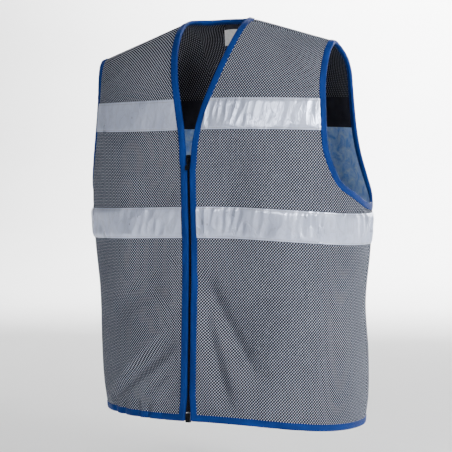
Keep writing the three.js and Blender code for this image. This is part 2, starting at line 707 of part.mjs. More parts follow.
const tapeBack = tapeFace - ZIP_TAPE_THICKNESS;
const coilBack = tapeFace + GAP;
const coilFace = coilBack + COIL_THICKNESS;
const zipTape = (front, side) => zipBar(front, side, GAP / 2, null, tapeFace, tapeBack);
const zipCoil = (front, side) => zipBar(front, side, GAP / 2, COIL_WIDTH, coilFace, coilBack);

// Hard parts. Each is modelled in its own frame, X to the wearer's left, Z up the zip and depths
// counted off the cloth toward -Y, and then laid on the front at its height.
const wasm = await Module();
wasm.setup();

function toManifold(geometry) {
  const bare = geometry.clone();
  bare.deleteAttribute('normal');
  bare.deleteAttribute('uv');
  const merged = mergeVertices(bare, 1e-4);
  return new wasm.Manifold(new wasm.Mesh({
    numProp: 3,
    vertProperties: new Float32Array(merged.getAttribute('position').array),
    triVerts: new Uint32Array(merged.getIndex().array),
  }));
}

function joined(geometries) {
  const mesh = geometries.map(toManifold).reduce((sum, next) => sum.add(next)).getMesh();
  const geometry = new THREE.BufferGeometry();
  geometry.setAttribute('position', new THREE.BufferAttribute(mesh.vertProperties, 3));
  geometry.setIndex(new THREE.BufferAttribute(mesh.triVerts, 1));
  return geometry;
}

const polygon = (points) => new THREE.Shape(points.map(([x, z]) => new THREE.Vector2(x, z)));

// An outline in X and Z, given thickness between two depths
function plate(shape, low, high) {
  const geometry = new THREE.ExtrudeGeometry(shape, { depth: high - low, bevelEnabled: false });
  return geometry.rotateX(Math.PI / 2).translate(0, -low, 0);
}

// An outline in depth and Z, given a width across the middle of the zip
function slice(shape, width) {
  const geometry = new THREE.ExtrudeGeometry(shape, { depth: width, bevelEnabled: false });
  const turn = new THREE.Matrix4().set(0, 0, -1, width / 2, -1, 0, 0, 0, 0, 1, 0, 0, 0, 0, 0, 1);
  return geometry.applyMatrix4(turn);
}

// An outline of the given half widths, from the top down, the same on both sides
function mirrored(points) {
  const right = points.map(([x, z]) => [-x, z]);
  return polygon([...points, ...right.reverse()].reverse());
}

// The middle of the zip at a height: a point of the cloth's outer face and the lean of the front
function zipFrame(height) {
  const row = rowAtHeight(height);
  const middle = (at) => zipStations(fronts.left, at, at)[0].edge.point.setX(0);
  const origin = middle(row);
  const run = middle(row + 0.05).sub(origin);
  return { origin, tilt: -Math.atan2(run.y, run.z) };
}

const plateLow = coilFace + GAP;
const plateHigh = plateLow + SLIDER_PLATE;
const underHigh = tapeBack - GAP;
const hingeDepth = plateHigh + BRIDGE_WINDOW / 2;

function sliderGeometry() {
  const top = SLIDER_LENGTH / 2;
  const shoulder = SLIDER_WIDTH / 2;
  const waist = shoulder * 0.8;
  const outline = [
    [shoulder - CHAMFER, top], [shoulder, top - CHAMFER], [shoulder, 0], [waist, -top],
  ];
  const divider = [[DIVIDER_WIDTH / 2, top - WELD], [DIVIDER_WIDTH / 2, 2 * GAP]];
  const half = BRIDGE_LENGTH / 2;
  const inner = half - BRIDGE_THICKNESS;
  const window = plateHigh + BRIDGE_WINDOW;
  const crown = window + BRIDGE_THICKNESS;
  const foot = plateHigh - WELD;
  const arch = polygon([
    [foot, -half], [window, -half], [crown, -inner], [crown, inner], [window, half], [foot, half],
    [foot, inner], [window, inner], [window, -inner], [foot, -inner],
  ]);
  return joined([
    plate(mirrored(outline), plateLow, plateHigh),
    plate(mirrored(outline), underHigh - SLIDER_PLATE, underHigh),
    plate(mirrored(divider), underHigh - WELD, plateLow + WELD),
    slice(arch, BRIDGE_WIDTH),
  ]);
}

// The pull about its hinge: a bar under the bridge, an eye round the bridge's leg, stem and grip
function pullGeometry() {
  const eye = PULL_EYE_WIDTH / 2;
  const ring = eye + PULL_BAR;
  const stem = PULL_STEM_WIDTH / 2;
  const grip = PULL_END_WIDTH / 2;
  const gripTop = PULL_END_LENGTH - PULL_LENGTH;
  const bar = PULL_BAR / 2;
  const shape = mirrored([
    [ring, bar], [ring, bar - PULL_EYE_REACH], [stem, -PULL_EYE_REACH - PULL_BAR],
    [stem, gripTop + CHAMFER], [grip, gripTop], [grip, CHAMFER - PULL_LENGTH], [grip - CHAMFER, -PULL_LENGTH],
  ]);
  const hole = [[eye, -bar], [-eye, -bar], [-eye, -PULL_EYE_REACH], [eye, -PULL_EYE_REACH]];
  shape.holes.push(new THREE.Path(hole.map(([x, z]) => new THREE.Vector2(x, z))));
  return plate(shape, -PULL_THICKNESS / 2, PULL_THICKNESS / 2);
}

// The grip rests on the folded edges of the bindings
const gripDepth = CLOTH + 3 * GAP + PULL_THICKNESS / 2;
const pullLean = Math.asin((gripDepth - hingeDepth) / (PULL_LENGTH - PULL_END_LENGTH));

function boxGeometry() {
  const half = BOX_WIDTH / 2;
  const end = BOX_LENGTH / 2;
  const outline = [
    [half - CHAMFER, end], [half, end - CHAMFER], [half, CHAMFER - end], [half - CHAMFER, -end],
  ];
  return plate(mirrored(outline), BOX_PROUD - BOX_THICKNESS, BOX_PROUD);
}

// A bare label that hangs straight down inside the back neck, between two distances below its
// seam, behind the middle column of the back's facets
function neckLabel(from, to) {
  const column = (BACK_COLUMNS - 1) / 2;
  const [low, high] = [back.main.at(-2), back.main.at(-1)];
  const seam = [column, column + 1].map((i) => nudged(high[i], low[i], CLOTH + 2 * GAP));
  const grid = [from, to].map((distance) => [-1, 1].map((half) => {
    const x = LABEL_OFFSET + (half * LABEL_WIDTH) / 2;
    const share = (x - seam[0].point.x) / (seam[1].point.x - seam[0].point.x);
    const { point, normal } = between(seam[0], seam[1], share);
    point.addScaledVector(normal, -WALL - GAP);
    point.z -= distance;
    return { point, normal: new THREE.Vector3(0, 1, 0) };
  }));
  return thicken(addGrid(newSheet(), grid), -CLOTH, 0);
}

const COLOURS = {
  mesh: { color: 0x6a6c76, roughness: 0.9, metalness: 0 },
  binding: { color: 0x14509a, roughness: 0.75, metalness: 0 },
  lining: { color: 0x3f66a8, roughness: 0.8, metalness: 0 },
  reflective: { color: 0xb9bcc6, roughness: 0.45, metalness: 0.2 },
  black: { color: 0x111215, roughness: 0.8, metalness: 0 },
  metal: { color: 0x77797d, roughness: 0.4, metalness: 0.9 },
  label: { color: 0xe4e4e2, roughness: 0.8, metalness: 0 },
};

const vest = new THREE.Group();
vest.position.z = WALL - LENGTH;

const inPlace = { origin: new THREE.Vector3(), tilt: 0 };
function piece(name, geometry, colour, place = inPlace) {
  const mesh = new THREE.Mesh(geometry, new THREE.MeshStandardMaterial(COLOURS[colour]));
  mesh.name = name;
  mesh.position.copy(place.origin);
  mesh.rotation.x = place.tilt;
  vest.add(mesh);
}

const panelCloth = (panel) => thicken(panel.sheet, -WALL, 0);
const onCloth = (panel, rows) => thicken(bandOf(panel, rows), GAP, GAP + CLOTH);
const inCloth = (panel, rows, short) => thicken(bandOf(panel, rows, short), -WALL - GAP - CLOTH, -WALL - GAP);

for (const [name, side] of [['right', -1], ['left', 1]]) {
  const front = fronts[name];
  piece(`front_${name}`, panelCloth(front), 'mesh');
  piece(`upper_tape_${name}`, onCloth(front, upperTapeRows), 'reflective');
  piece(`lower_tape_${name}`, onCloth(front, lowerTapeRows), 'reflective');
  piece(`zip_tape_${name}`, zipTape(front, side), 'black');
  piece(`zip_coil_${name}`, zipCoil(front, side), 'black');
}
piece('back', panelCloth(back), 'mesh');
piece('upper_tape_back', onCloth(back, backTapeRows), 'reflective');
piece('lower_tape_back', onCloth(back, lowerTapeRows), 'reflective');
piece('back_inner_band', inCloth(back, backTapeRows), 'black');
piece('back_lining', inCloth(back, [bindingRow, liningTopRow], GAP), 'lining');
piece('armhole_binding_right', armholeBinding(fronts.right, back.armRight, 0), 'binding');
piece('armhole_binding_left', armholeBinding(fronts.left, back.armLeft, -1), 'binding');
piece('neck_binding', neckBinding(), 'binding');
piece('hem_binding', hemBinding(), 'binding');
piece('neck_label_black', neckLabel(0, LABEL_BLACK_HEIGHT), 'black');
const labelStart = LABEL_BLACK_HEIGHT + GAP;
piece('neck_label_white', neckLabel(labelStart, labelStart + LABEL_WHITE_HEIGHT), 'label');

const sliderFrame = zipFrame(SLIDER_HEIGHT);
const hingeTurn = new THREE.Euler(sliderFrame.tilt, 0, 0);
const offCloth = new THREE.Vector3(0, -hingeDepth, 0).applyEuler(hingeTurn);
const pullFrame = { origin: sliderFrame.origin.clone().add(offCloth), tilt: sliderFrame.tilt - pullLean };
piece('zip_slider', sliderGeometry(), 'metal', sliderFrame);
piece('zip_pull', pullGeometry(), 'metal', pullFrame);
piece('zip_box', boxGeometry(), 'metal', zipFrame(BOX_LENGTH / 2 - BOX_DROP));

export default vest;
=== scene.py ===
import math

import bpy
import numpy as np
from mathutils import Matrix


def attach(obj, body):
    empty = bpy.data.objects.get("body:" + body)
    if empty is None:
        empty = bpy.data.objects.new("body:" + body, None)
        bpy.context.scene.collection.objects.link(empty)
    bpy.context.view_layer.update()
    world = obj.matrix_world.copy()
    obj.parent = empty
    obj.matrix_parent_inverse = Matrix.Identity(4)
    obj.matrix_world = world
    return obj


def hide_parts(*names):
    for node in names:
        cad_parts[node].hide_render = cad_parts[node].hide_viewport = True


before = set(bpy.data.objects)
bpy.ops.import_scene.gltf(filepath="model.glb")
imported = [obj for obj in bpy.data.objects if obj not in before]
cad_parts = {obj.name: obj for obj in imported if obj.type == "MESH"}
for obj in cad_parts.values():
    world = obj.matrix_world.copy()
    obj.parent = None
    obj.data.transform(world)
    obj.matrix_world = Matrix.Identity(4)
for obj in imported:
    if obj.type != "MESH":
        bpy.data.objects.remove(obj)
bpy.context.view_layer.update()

# Overall sizes of the body
LENGTH = 648
CHEST_HALF_WIDTH = 250
FRONT_DEPTH = 150
BACK_DEPTH = 115
SHOULDER_HALF = 206
SHOULDER_DROP = 49
SHOULDER_TILT = 4
SHOULDER_FORWARD = 14
SQUARENESS = 0.1

# Cloth and edges
WALL = 3
CLOTH = 1
GAP = 0.3
BINDING_WIDTH = 10
NECK_HALF = 64
NECK_SHIFT = 5
V_BOTTOM = 410
BACK_NECK_DEPTH = 42
ARMPIT_HEIGHT = 346
ARMPIT_RISE = 12
SEAM_FORWARD = 14
TAPE_WIDTH = 50
TAPE_BELOW_ARMPIT = 4
LOWER_TAPE_TOP = ARMPIT_HEIGHT - TAPE_BELOW_ARMPIT
UPPER_TAPE_TOP = 516
BACK_TAPE_RISE = 5
LABEL_WIDTH = 26
LABEL_OFFSET = 1
LABEL_BLACK_HEIGHT = 8
LABEL_WHITE_HEIGHT = 27

# Zip
ZIP_OPENING = 5
ZIP_TAPE_WIDTH = 15
ZIP_TAPE_THICKNESS = 0.8
COIL_WIDTH = 2
COIL_THICKNESS = 2.2
COIL_PITCH = 1.5
SLIDER_HEIGHT = 420
SLIDER_WIDTH = 7.6
SLIDER_LENGTH = 11
BOX_WIDTH = 8
BOX_LENGTH = 15
BOX_DROP = 3

# Folds
FOLD_WIDTH = 20
FOLD_DEPTH = 6
FOLD_RIM = 0.7
SIDE_BLEND = 0.2
SEAM_FADE = 0.2

# How far the cloth reaches under a binding, the rows over which that grows, and how far the hem
# binding runs under the neck binding
TUCK = 5
TUCK_FADE = 0.25
HEM_REACH = 8

# The bindings' strip: its width, and its metres at the neck, the hem and the two armholes
BINDING_STRIP = 24
BINDING_LENGTHS = (1.72, 1.33, 0.72, 0.76)

# Seams pressed into the cloth
SEAM_DIP = 1.6
SEAM_SPREAD = 2.2
SHOULDER_SPREAD = 2.5

# How loose the tapes lie, and what that lifts: the whole tape, its sharp creases and its buckles
UPPER_SLACK = {"right": 0.5, "left": 0.75}
LOWER_SLACK = 1.6
BACK_SLACK = 0.8
LOOSE_HEIGHT = 1.3
CREASE_HEIGHT = 1.4
BUCKLE_HEIGHT = 0.9

# Uneven heights of the cloth, the lining and the bindings
DRAPE_HEIGHT = 0.5
LINING_PUFF = 0.7
PUCKER_SHARE = 0.1

# Room left at the hem, the shoulder seams and the inner band, in rows of SECTIONS
FIRST_ROW = 0.012
SEAM_ROOM = 0.004
LINING_ROOM = 0.003

# Grain of the searches, the cloth's coordinates and the meshes
HALVINGS = 34
LEAD_STEPS = 40
UP_ANGLE = 0.5
HEM_ROWS = 3
BODY_ROWS = 96
FRONT_TOP_ROWS = 92
FRONT_COLUMNS = 92
BACK_MIDDLE_ROWS = 50
BACK_TOP_ROWS = 48
BACK_NECK_COLUMNS = 60
BACK_SIDE_COLUMNS = 61
TAPE_ROWS = 26
TAPE_COLUMNS = 190
BACK_TAPE_COLUMNS = 340
INNER_COLUMNS = 150
BAND_ROWS = 20
LINING_ROWS = 120
NECK_TURN_STEPS = 70
ARM_ROWS = 80
ARM_SPACING = 1.4
HEM_COLUMNS = 70
ZIP_ROWS = 150
TOOTH_SIDES = 8

SECTION_COLUMNS = [
    "height", "right", "left", "front", "back", "side",
    "dropRight", "dropLeft", "slope", "seamRight", "seamLeft",
]
SECTIONS = np.array([
    [0.0, 0.872, 0.918, 1.2, 1.08, 0.12, -0.008, 0.042, 0, -0.5, 0.07],
    [0.075, 0.902, 0.948, 1.165, 1.08, 0.12, -0.006, 0.04, 0, -0.42, 0.07],
    [0.18, 0.917, 0.957, 1.115, 1.05, 0.12, 0.0, 0.036, 0, -0.27, 0.07],
    [0.3, 0.93, 0.95, 1.06, 1.02, 0.12, 0.002, 0.032, 0, -0.08, 0.07],
    [0.44, 0.967, 0.996, 1.01, 1.0, 0.12, 0.003, 0.032, 0, 0.05, 0.07],
    [0.56, 0.972, 1.018, 0.99, 0.99, 0.11, 0.001, 0.03, 0, 0.07, 0.07],
    [0.68, 0.945, 0.99, 0.93, 0.97, 0.08, -0.008, 0.018, 0.02, 0.07, 0.07],
    [0.79, 0.92, 0.96, 0.8, 0.93, 0.05, -0.01, 0.009, 0.05, 0.07, 0.07],
    [0.87, 0.92, 0.96, 0.64, 0.86, 0.03, -0.004, 0.004, 0.38, 0.07, 0.07],
    [0.935, 0.92, 0.96, 0.44, 0.72, 0.01, 0.0, 0.0, 0.75, 0.07, 0.07],
    [0.98, 0.92, 0.96, 0.23, 0.45, 0.0, 0.0, 0.0, 0.95, 0.07, 0.07],
    [1.0, 0.92, 0.96, 0.0, 0.0, 0.0, 0.0, 0.0, 1, 0.07, 0.07],
])
RIDGE = len(SECTIONS) - 1
SHOULDER_SECTIONS = 4

V_NECK = np.array([
    [0.0, 0.0], [0.14, 0.12], [0.42, 0.43], [0.6, 0.66], [0.8, 0.86], [1.0, 1.0],
])

# Columns: rise, front right, front left, back
ARMHOLES = np.array([
    [0.0, 1.0, 1.0, 1.0],
    [0.06, 0.8, 0.78, 0.84],
    [0.12, 0.5, 0.48, 0.6],
    [0.2, 0.24, 0.3, 0.36],
    [0.3, 0.0, 0.12, 0.16],
    [0.44, -0.25, 0.02, 0.04],
    [0.64, -0.38, -0.06, 0.1],
    [0.86, -0.2, -0.04, 0.26],
    [1.0, 0.0, 0.0, 0.0],
])


def on(face, rows):
    return [[face, *row] for row in rows]


# Columns: across, height, toAcross, toHeight, width, depth
FOLDS = on("front", [
    [0.07, 0.37, 0.5, 0.07, 1.3, 1.7], [0.08, 0.29, 0.3, 0.01, 0.8, 1.1],
    [0.28, 0.7, 0.28, 0.34, 2.0, 0.8], [0.6, 0.62, 0.62, 0.06, 2.4, -1.1],
    [-0.5, 0.62, -0.52, 0.3, 2.2, -0.9], [-0.52, 0.09, -0.1, 0.2, 0.9, 0.9],
    [-0.62, 0.26, -0.2, 0.34, 1.1, 0.6], [-0.4, 0.6, -0.1, 0.53, 1.0, 0.5],
]) + on("right", [
    [0.0, 0.3, -0.48, -0.12, 1.5, 2.0],
]) + on("back", [
    [-0.6, 0.4, -0.25, 0.12, 1.6, 1.0], [0.6, 0.4, 0.25, 0.12, 1.6, 1.0],
    [-0.1, 0.62, -0.1, 0.18, 1.8, 0.7],
])

# Smaller creases than the solids have
CREASES = on("front", [
    [-0.7, 0.055, -0.1, 0.245, 0.55, -0.45], [-0.66, 0.03, -0.08, 0.19, 0.5, 0.6],
    [-0.3, 0.33, -0.08, 0.26, 0.5, 0.4], [0.08, 0.36, 0.44, 0.11, 0.6, 0.75],
    [0.09, 0.28, 0.28, 0.03, 0.5, 0.65], [-0.16, 0.415, -0.07, 0.385, 0.35, 0.5],
    [0.07, 0.05, 0.12, -0.02, 0.35, 0.45], [0.44, 0.045, 0.43, -0.04, 0.35, 0.35],
    [0.56, 0.045, 0.58, -0.04, 0.35, 0.35], [0.7, 0.05, 0.71, -0.04, 0.45, 0.35],
    [-0.34, 0.057, -0.09, 0.135, 0.4, 0.5], [-0.48, 0.105, -0.17, 0.18, 0.45, 0.5],
    [-0.23, 0.035, -0.06, 0.092, 0.4, 0.4], [-0.49, 0.31, -0.19, 0.372, 0.45, 0.25],
    [-0.4, 0.24, -0.22, 0.285, 0.45, 0.25], [-0.62, 0.05, -0.61, -0.03, 0.35, 0.55],
    [-0.51, 0.055, -0.53, -0.03, 0.35, 0.6], [-0.4, 0.045, -0.39, -0.03, 0.35, 0.5],
    [-0.3, 0.04, -0.31, -0.03, 0.3, 0.45], [-0.2, 0.035, -0.18, -0.03, 0.3, 0.4],
    [0.12, 0.17, 0.24, 0.03, 0.4, 0.35], [0.28, 0.3, 0.48, 0.19, 0.5, 0.3],
    [0.3, 0.46, 0.62, 0.4, 0.6, 0.22], [-0.28, 0.655, -0.09, 0.55, 0.5, 0.3],
    [0.2, 0.7, 0.46, 0.64, 0.6, 0.22],
]) + on("back", [
    [0.3, 0.3, 0.1, 0.06, 0.6, 0.45], [-0.42, 0.26, -0.2, 0.05, 0.5, 0.4],
    [0.45, 0.7, 0.15, 0.64, 0.7, 0.35], [-0.45, 0.7, -0.15, 0.64, 0.7, 0.35],
])


def mix(start, end, share):
    return start + (end - start) * share


def smoothstep(value, low, high):
    share = np.clip((value - low) / (high - low), 0, 1)
    return share * share * (3 - 2 * share)


def hermite(share, start, end, start_slope, end_slope):
    """A smooth curve between two values with a slope at each."""
    square = share * share
    cube = square * share
    return (
        (2 * cube - 3 * square + 1) * start
        + (cube - 2 * square + share) * start_slope
        + (3 * square - 2 * cube) * end
        + (cube - square) * end_slope
    )


def section_value(name, row):
    """A column of SECTIONS at rows between 0 and RIDGE."""
    column = SECTIONS[:, SECTION_COLUMNS.index(name)]
    sign = -1 if name in ("front", "back") else 1
    padded = np.concatenate([[2 * column[0] - column[1]], column, [sign * column[RIDGE - 1]]])
    row = np.asarray(row, float)
    index = np.clip(np.floor(row).astype(int), 0, RIDGE - 1)
    before, start, end, after = (padded[index + i] for i in range(4))
    return hermite(row - index, start, end, (end - before) / 2, (after - start) / 2)


def table_value(table, column, at):
    """A column of a table whose first column rises, with a smooth curve through its points."""
    keys, values = table[:, 0], table[:, column]
    last = len(keys) - 1
    slopes = np.array([
        (values[after] - values[before]) / (keys[after] - keys[before])
        for before, after in ((max(i - 1, 0), min(i + 1, last)) for i in range(last + 1))
    ])
    at = np.asarray(at, float)
    index = np.clip(np.searchsorted(keys, at) - 1, 0, last - 1)
    span = keys[index + 1] - keys[index]
    share = np.clip((at - keys[index]) / span, 0, 1)
    start, end = values[index], values[index + 1]
    return hermite(share, start, end, span * slopes[index], span * slopes[index + 1])


def bisect(low, high, above):
    """The place between two limits where above() turns from false to true."""
    low, high = np.asarray(low, float), np.asarray(high, float)
    for _ in range(HALVINGS):
        middle = (low + high) / 2
        over = above(middle)
        low, high = np.where(over, low, middle), np.where(over, middle, high)
    return (low + high) / 2


def row_at_height(height):
    height = np.asarray(height, float)
    low, high = np.zeros_like(height), np.full_like(height, RIDGE)
    return bisect(low, high, lambda row: section_value("height", row) * LENGTH > height)


def slope_reach(x):
    return np.hypot(x, NECK_HALF / 2) - np.hypot(NECK_HALF, NECK_HALF / 2)


def plain_point(angle, row):
    """A point of the body before folds. Rows past the ridge run down the back."""
    angle, row = np.broadcast_arrays(np.asarray(angle, float), np.asarray(row, float))
    behind = row > RIDGE
    angle = np.where(behind, -angle, angle)
    row = np.where(behind, 2 * RIDGE - row, row)
    across, along = np.cos(angle), np.sin(angle)
    right = across < 0
    half = np.where(right, section_value("right", row), section_value("left", row)) * CHEST_HALF_WIDTH
    front = section_value("front", row) * FRONT_DEPTH
    depth = np.where(along < 0, front, section_value("back", row) * BACK_DEPTH)
    x = half * across * (1 + SQUARENESS * along**2)
    slope = section_value("slope", row)
    reach = slope_reach(x) / (SHOULDER_HALF - NECK_HALF)
    y = section_value("side", row) * FRONT_DEPTH + depth * along * (1 + SQUARENESS * across**2)
    y = y - SHOULDER_FORWARD * slope * reach
    drop = np.where(right, section_value("dropRight", row), section_value("dropLeft", row)) * LENGTH
    z = section_value("height", row) * LENGTH - drop * (x / half) ** 2
    z = z + SHOULDER_TILT * slope * (x / SHOULDER_HALF) - SHOULDER_DROP * slope * reach
    return np.stack([x, y, z], axis=-1)


def normal_of(surface, angle, row):
    step = 0.004
    across = surface(angle + step, row) - surface(angle - step, row)
    up = surface(angle, row + step) - surface(angle, row - step)
    normal = np.cross(across, up)
    return normal / np.linalg.norm(normal, axis=-1, keepdims=True)


def fold_depth(point, across, facing):
    """How far the folds and creases push a point in."""
    toward = {"front": facing, "back": -facing, "right": -across, "left": across}
    depth = np.zeros(point.shape[:-1])
    for face, start, height, end, end_height, width, deep in FOLDS + CREASES:
        flat = face in ("front", "back")
        size = CHEST_HALF_WIDTH if flat else FRONT_DEPTH
        low = -SIDE_BLEND if flat else 1 - 2 * SIDE_BLEND
        share = smoothstep(toward[face], low, low + 2 * SIDE_BLEND)
        run, run_z = (end - start) * size, (end_height - height) * LENGTH
        away = (point[..., 0] if flat else point[..., 1]) - start * size
        away_z = point[..., 2] - height * LENGTH
        along = np.clip((away * run + away_z * run_z) / (run**2 + run_z**2), 0, 1)
        spread = (away - along * run) ** 2 + (away_z - along * run_z) ** 2
        spread = spread / (width * FOLD_WIDTH) ** 2
        ends = 1 - (2 * along - 1) ** 4
        depth += deep * FOLD_DEPTH * ends * (1 - FOLD_RIM * spread) * np.exp(-spread) * share
    return depth


def body_point(angle, row):
    """The outer face of the cloth."""
    point = plain_point(angle, row)
    facing = np.where(row > RIDGE, np.sin(angle), -np.sin(angle))
    depth = fold_depth(point, np.cos(angle), facing)
    return point - normal_of(plain_point, angle, row) * depth[..., None]


def off_cloth(angle, row, distance):
    """Points a distance off the cloth's outer face."""
    return body_point(angle, row) + normal_of(body_point, angle, row) * distance


def angle_at_x(x, row, face):
    """The angle at a distance to the wearer's left, on the front (1) or the back (-1)."""
    x, row = np.broadcast_arrays(np.asarray(x, float), np.asarray(row, float))
    level = np.where(row > RIDGE, 2 * RIDGE - row, row)
    half = np.where(x < 0, section_value("right", level), section_value("left", level)) * CHEST_HALF_WIDTH
    target = np.minimum(np.abs(x) / half, 1)
    turn = bisect(
        np.zeros_like(target), np.full_like(target, math.pi / 2),
        lambda a: np.cos(a) * (1 + SQUARENESS * np.sin(a) ** 2) < target,
    )
    side = np.where(x < 0, math.pi - turn, turn)
    return -side if face > 0 else side


def per_millimetre(angle, row):
    """How much angle and how much row make one millimetre of cloth."""
    step = 0.01
    across = np.linalg.norm(plain_point(angle + step, row) - plain_point(angle - step, row), axis=-1)
    up = np.linalg.norm(plain_point(angle, row + step) - plain_point(angle, row - step), axis=-1)
    return 2 * step / across, 2 * step / up


def beside_line(line, at, distance):
    """The point of the cloth at a distance from a line over it, to the left of the line's run."""
    step = 0.02
    angle, row = line(at)
    next_angle, next_row = line(at + step)
    last_angle, last_row = line(at - step)
    scale_angle, scale_row = per_millimetre(angle, row)
    across = (next_angle - last_angle) / scale_angle
    up = (next_row - last_row) / scale_row
    length = np.hypot(across, up)
    return angle - up / length * distance * scale_angle, row + across / length * distance * scale_row


binding_row = float(row_at_height(BINDING_WIDTH))
armpit_row = float(row_at_height(ARMPIT_HEIGHT))
shoulder_start = RIDGE - SHOULDER_SECTIONS
seam_row = float(bisect(
    shoulder_start, RIDGE, lambda r: plain_point(angle_at_x(NECK_HALF, r, 1), r)[..., 1] > -SEAM_FORWARD,
))
seam_height = float(section_value("height", seam_row)) * LENGTH
neck_inner_row = float(bisect(
    shoulder_start, RIDGE, lambda r: plain_point(math.pi / 2, r)[..., 1] < BACK_NECK_DEPTH + BINDING_WIDTH,
))
back_top_row = 2 * RIDGE - seam_row


def tape_rows(top):
    return float(row_at_height(top - TAPE_WIDTH)), float(row_at_height(top))


def front_opening(height):
    """Half the opening between the bindings, wider at the retainer box and at the slider."""
    half = ZIP_OPENING / 2
    box_top = BOX_LENGTH - BOX_DROP
    slider_end = SLIDER_HEIGHT - SLIDER_LENGTH / 2
    box = BOX_WIDTH / 2 + 2 * GAP - half
    slider = SLIDER_WIDTH / 2 + 2 * GAP - half
    below = 1 - smoothstep(height, box_top, box_top + 2 * BOX_LENGTH)
    above = smoothstep(height, slider_end - SLIDER_LENGTH, slider_end)
    return half + box * below + slider * above


def neck_rise(row):
    height = section_value("height", np.minimum(row, RIDGE)) * LENGTH
    return np.clip((height - V_BOTTOM) / (seam_height - V_BOTTOM), 0, 1)


def front_inner_x(row):
    opening = front_opening(section_value("height", row) * LENGTH)
    neck = NECK_HALF * table_value(V_NECK, 1, neck_rise(row))
    return np.hypot(opening + GAP + CLOTH + BINDING_WIDTH, neck)


def front_line(side):
    def line(row):
        x = NECK_SHIFT * neck_rise(row) ** 2 + side * front_inner_x(row)
        return angle_at_x(x, row, 1), row

    return line


def seam_angle(side, face, row):
    middle = 0 if side > 0 else math.pi
    name = "seamLeft" if side > 0 else "seamRight"
    row = np.asarray(row, float)
    turn = section_value(name, row) * FRONT_DEPTH * per_millimetre(np.full_like(row, middle), row)[0]
    return turn if side > 0 else -face * math.pi - turn


def outer_line(side, face):
    """The outer edge of a panel's cloth: the side seam, then the panel side of the armhole binding."""
    def line(row):
        row = np.asarray(row, float)
        level = np.where(row > RIDGE, 2 * RIDGE - row, row)
        height = section_value("height", level) * LENGTH
        top = np.clip((height - ARMPIT_HEIGHT) / (seam_height - ARMPIT_HEIGHT), 0, 1)
        top = np.where(row > RIDGE, 1, top)
        column = (2 if side > 0 else 1) if face > 0 else 3
        share = table_value(ARMHOLES, column, top)
        half = section_value("left" if side > 0 else "right", level) * CHEST_HALF_WIDTH
        x = np.minimum(mix(SHOULDER_HALF, half, share), half)
        rest = 0 if side > 0 else -face * math.pi
        fade = (1 - np.clip(top / SEAM_FADE, 0, 1)) ** 2
        seam = seam_angle(side, face, armpit_row)
        above = angle_at_x(side * x, row, face) + (seam - rest) * fade
        return np.where(row <= armpit_row, seam_angle(side, face, np.minimum(row, armpit_row)), above), row

    return line


def tucked(line, distance):
    """A line moved over the cloth under its binding, more and more above the armpit."""
    def moved(row):
        angle, row = line(row)
        beside = beside_line(line, row, distance)[0]
        return mix(angle, beside, smoothstep(row, armpit_row, armpit_row + TUCK_FADE))

    return moved


def steps(*stops):
    """Numbers through the given (start, end, count) stretches, none twice."""
    parts = [np.linspace(a, b, count, endpoint=False) for a, b, count in stops]
    return np.concatenate(parts + [[stops[-1][1]]])


def lengths(points, axis):
    """Running length along an axis of a grid of points."""
    run = np.linalg.norm(np.diff(points, axis=axis), axis=-1)
    start = np.zeros_like(np.take(run, [0], axis=axis))
    return np.concatenate([start, np.cumsum(run, axis=axis)], axis=axis)


def uv_grid(across, up):
    return np.stack(np.broadcast_arrays(across, up), axis=-1)


def cloth_coordinates(angle, row, centre):
    """Metres over the cloth: along each row from the centre line, and up the panel."""
    near = angle[:, :1]
    share = np.linspace(0, 1, LEAD_STEPS)[None, :]
    lead_rows = np.broadcast_to(row[:, :1], (len(row), LEAD_STEPS))
    lead = lengths(plain_point(mix(centre, near, share), lead_rows), 1)[:, -1]
    across = lengths(plain_point(angle, row), 1) * np.sign(angle[:, -1:] - near)
    across = across + (lead * np.sign(near[:, 0] - centre))[:, None]
    beside_centre = np.full(len(row), centre + UP_ANGLE)
    up = lengths(plain_point(beside_centre, row[:, row.shape[1] // 2]), 0)
    return uv_grid(across, up[:, None]) / 1000


# Meshes

def placed(points):
    """Metres in the shared frame."""
    return (np.asarray(points, float) + [0, 0, WALL - LENGTH]) / 1000


def put(name, data):
    thing = bpy.data.objects.new(name, data)
    bpy.context.scene.collection.objects.link(thing)
    return thing


def new_mesh(name, vertices, faces, uv, sharp=50):
    """A smooth closed mesh whose faces are turned outward."""
    vertices = np.asarray(vertices, float)
    volume = 0
    for face in faces:
        a, b, c = vertices[face[0]], vertices[face[1]], vertices[face[2]]
        volume += np.dot(a, np.cross(b, c))
        if len(face) == 4:
            volume += np.dot(a, np.cross(c, vertices[face[3]]))
    if volume < 0:
        faces = [face[::-1] for face in faces]
    mesh = bpy.data.meshes.new(name)
    mesh.from_pydata([tuple(v) for v in vertices], [], [tuple(int(i) for i in face) for face in faces])
    layer = mesh.uv_layers.new(name="cloth")
    index = np.empty(len(mesh.loops), int)
    mesh.loops.foreach_get("vertex_index", index)
    layer.data.foreach_set("uv", np.asarray(uv, float)[index].ravel())
    mesh.polygons.foreach_set("use_smooth", np.ones(len(mesh.polygons), bool))
    mesh.set_sharp_from_angle(angle=math.radians(sharp))
    mesh.validate()
    return put(name, mesh)


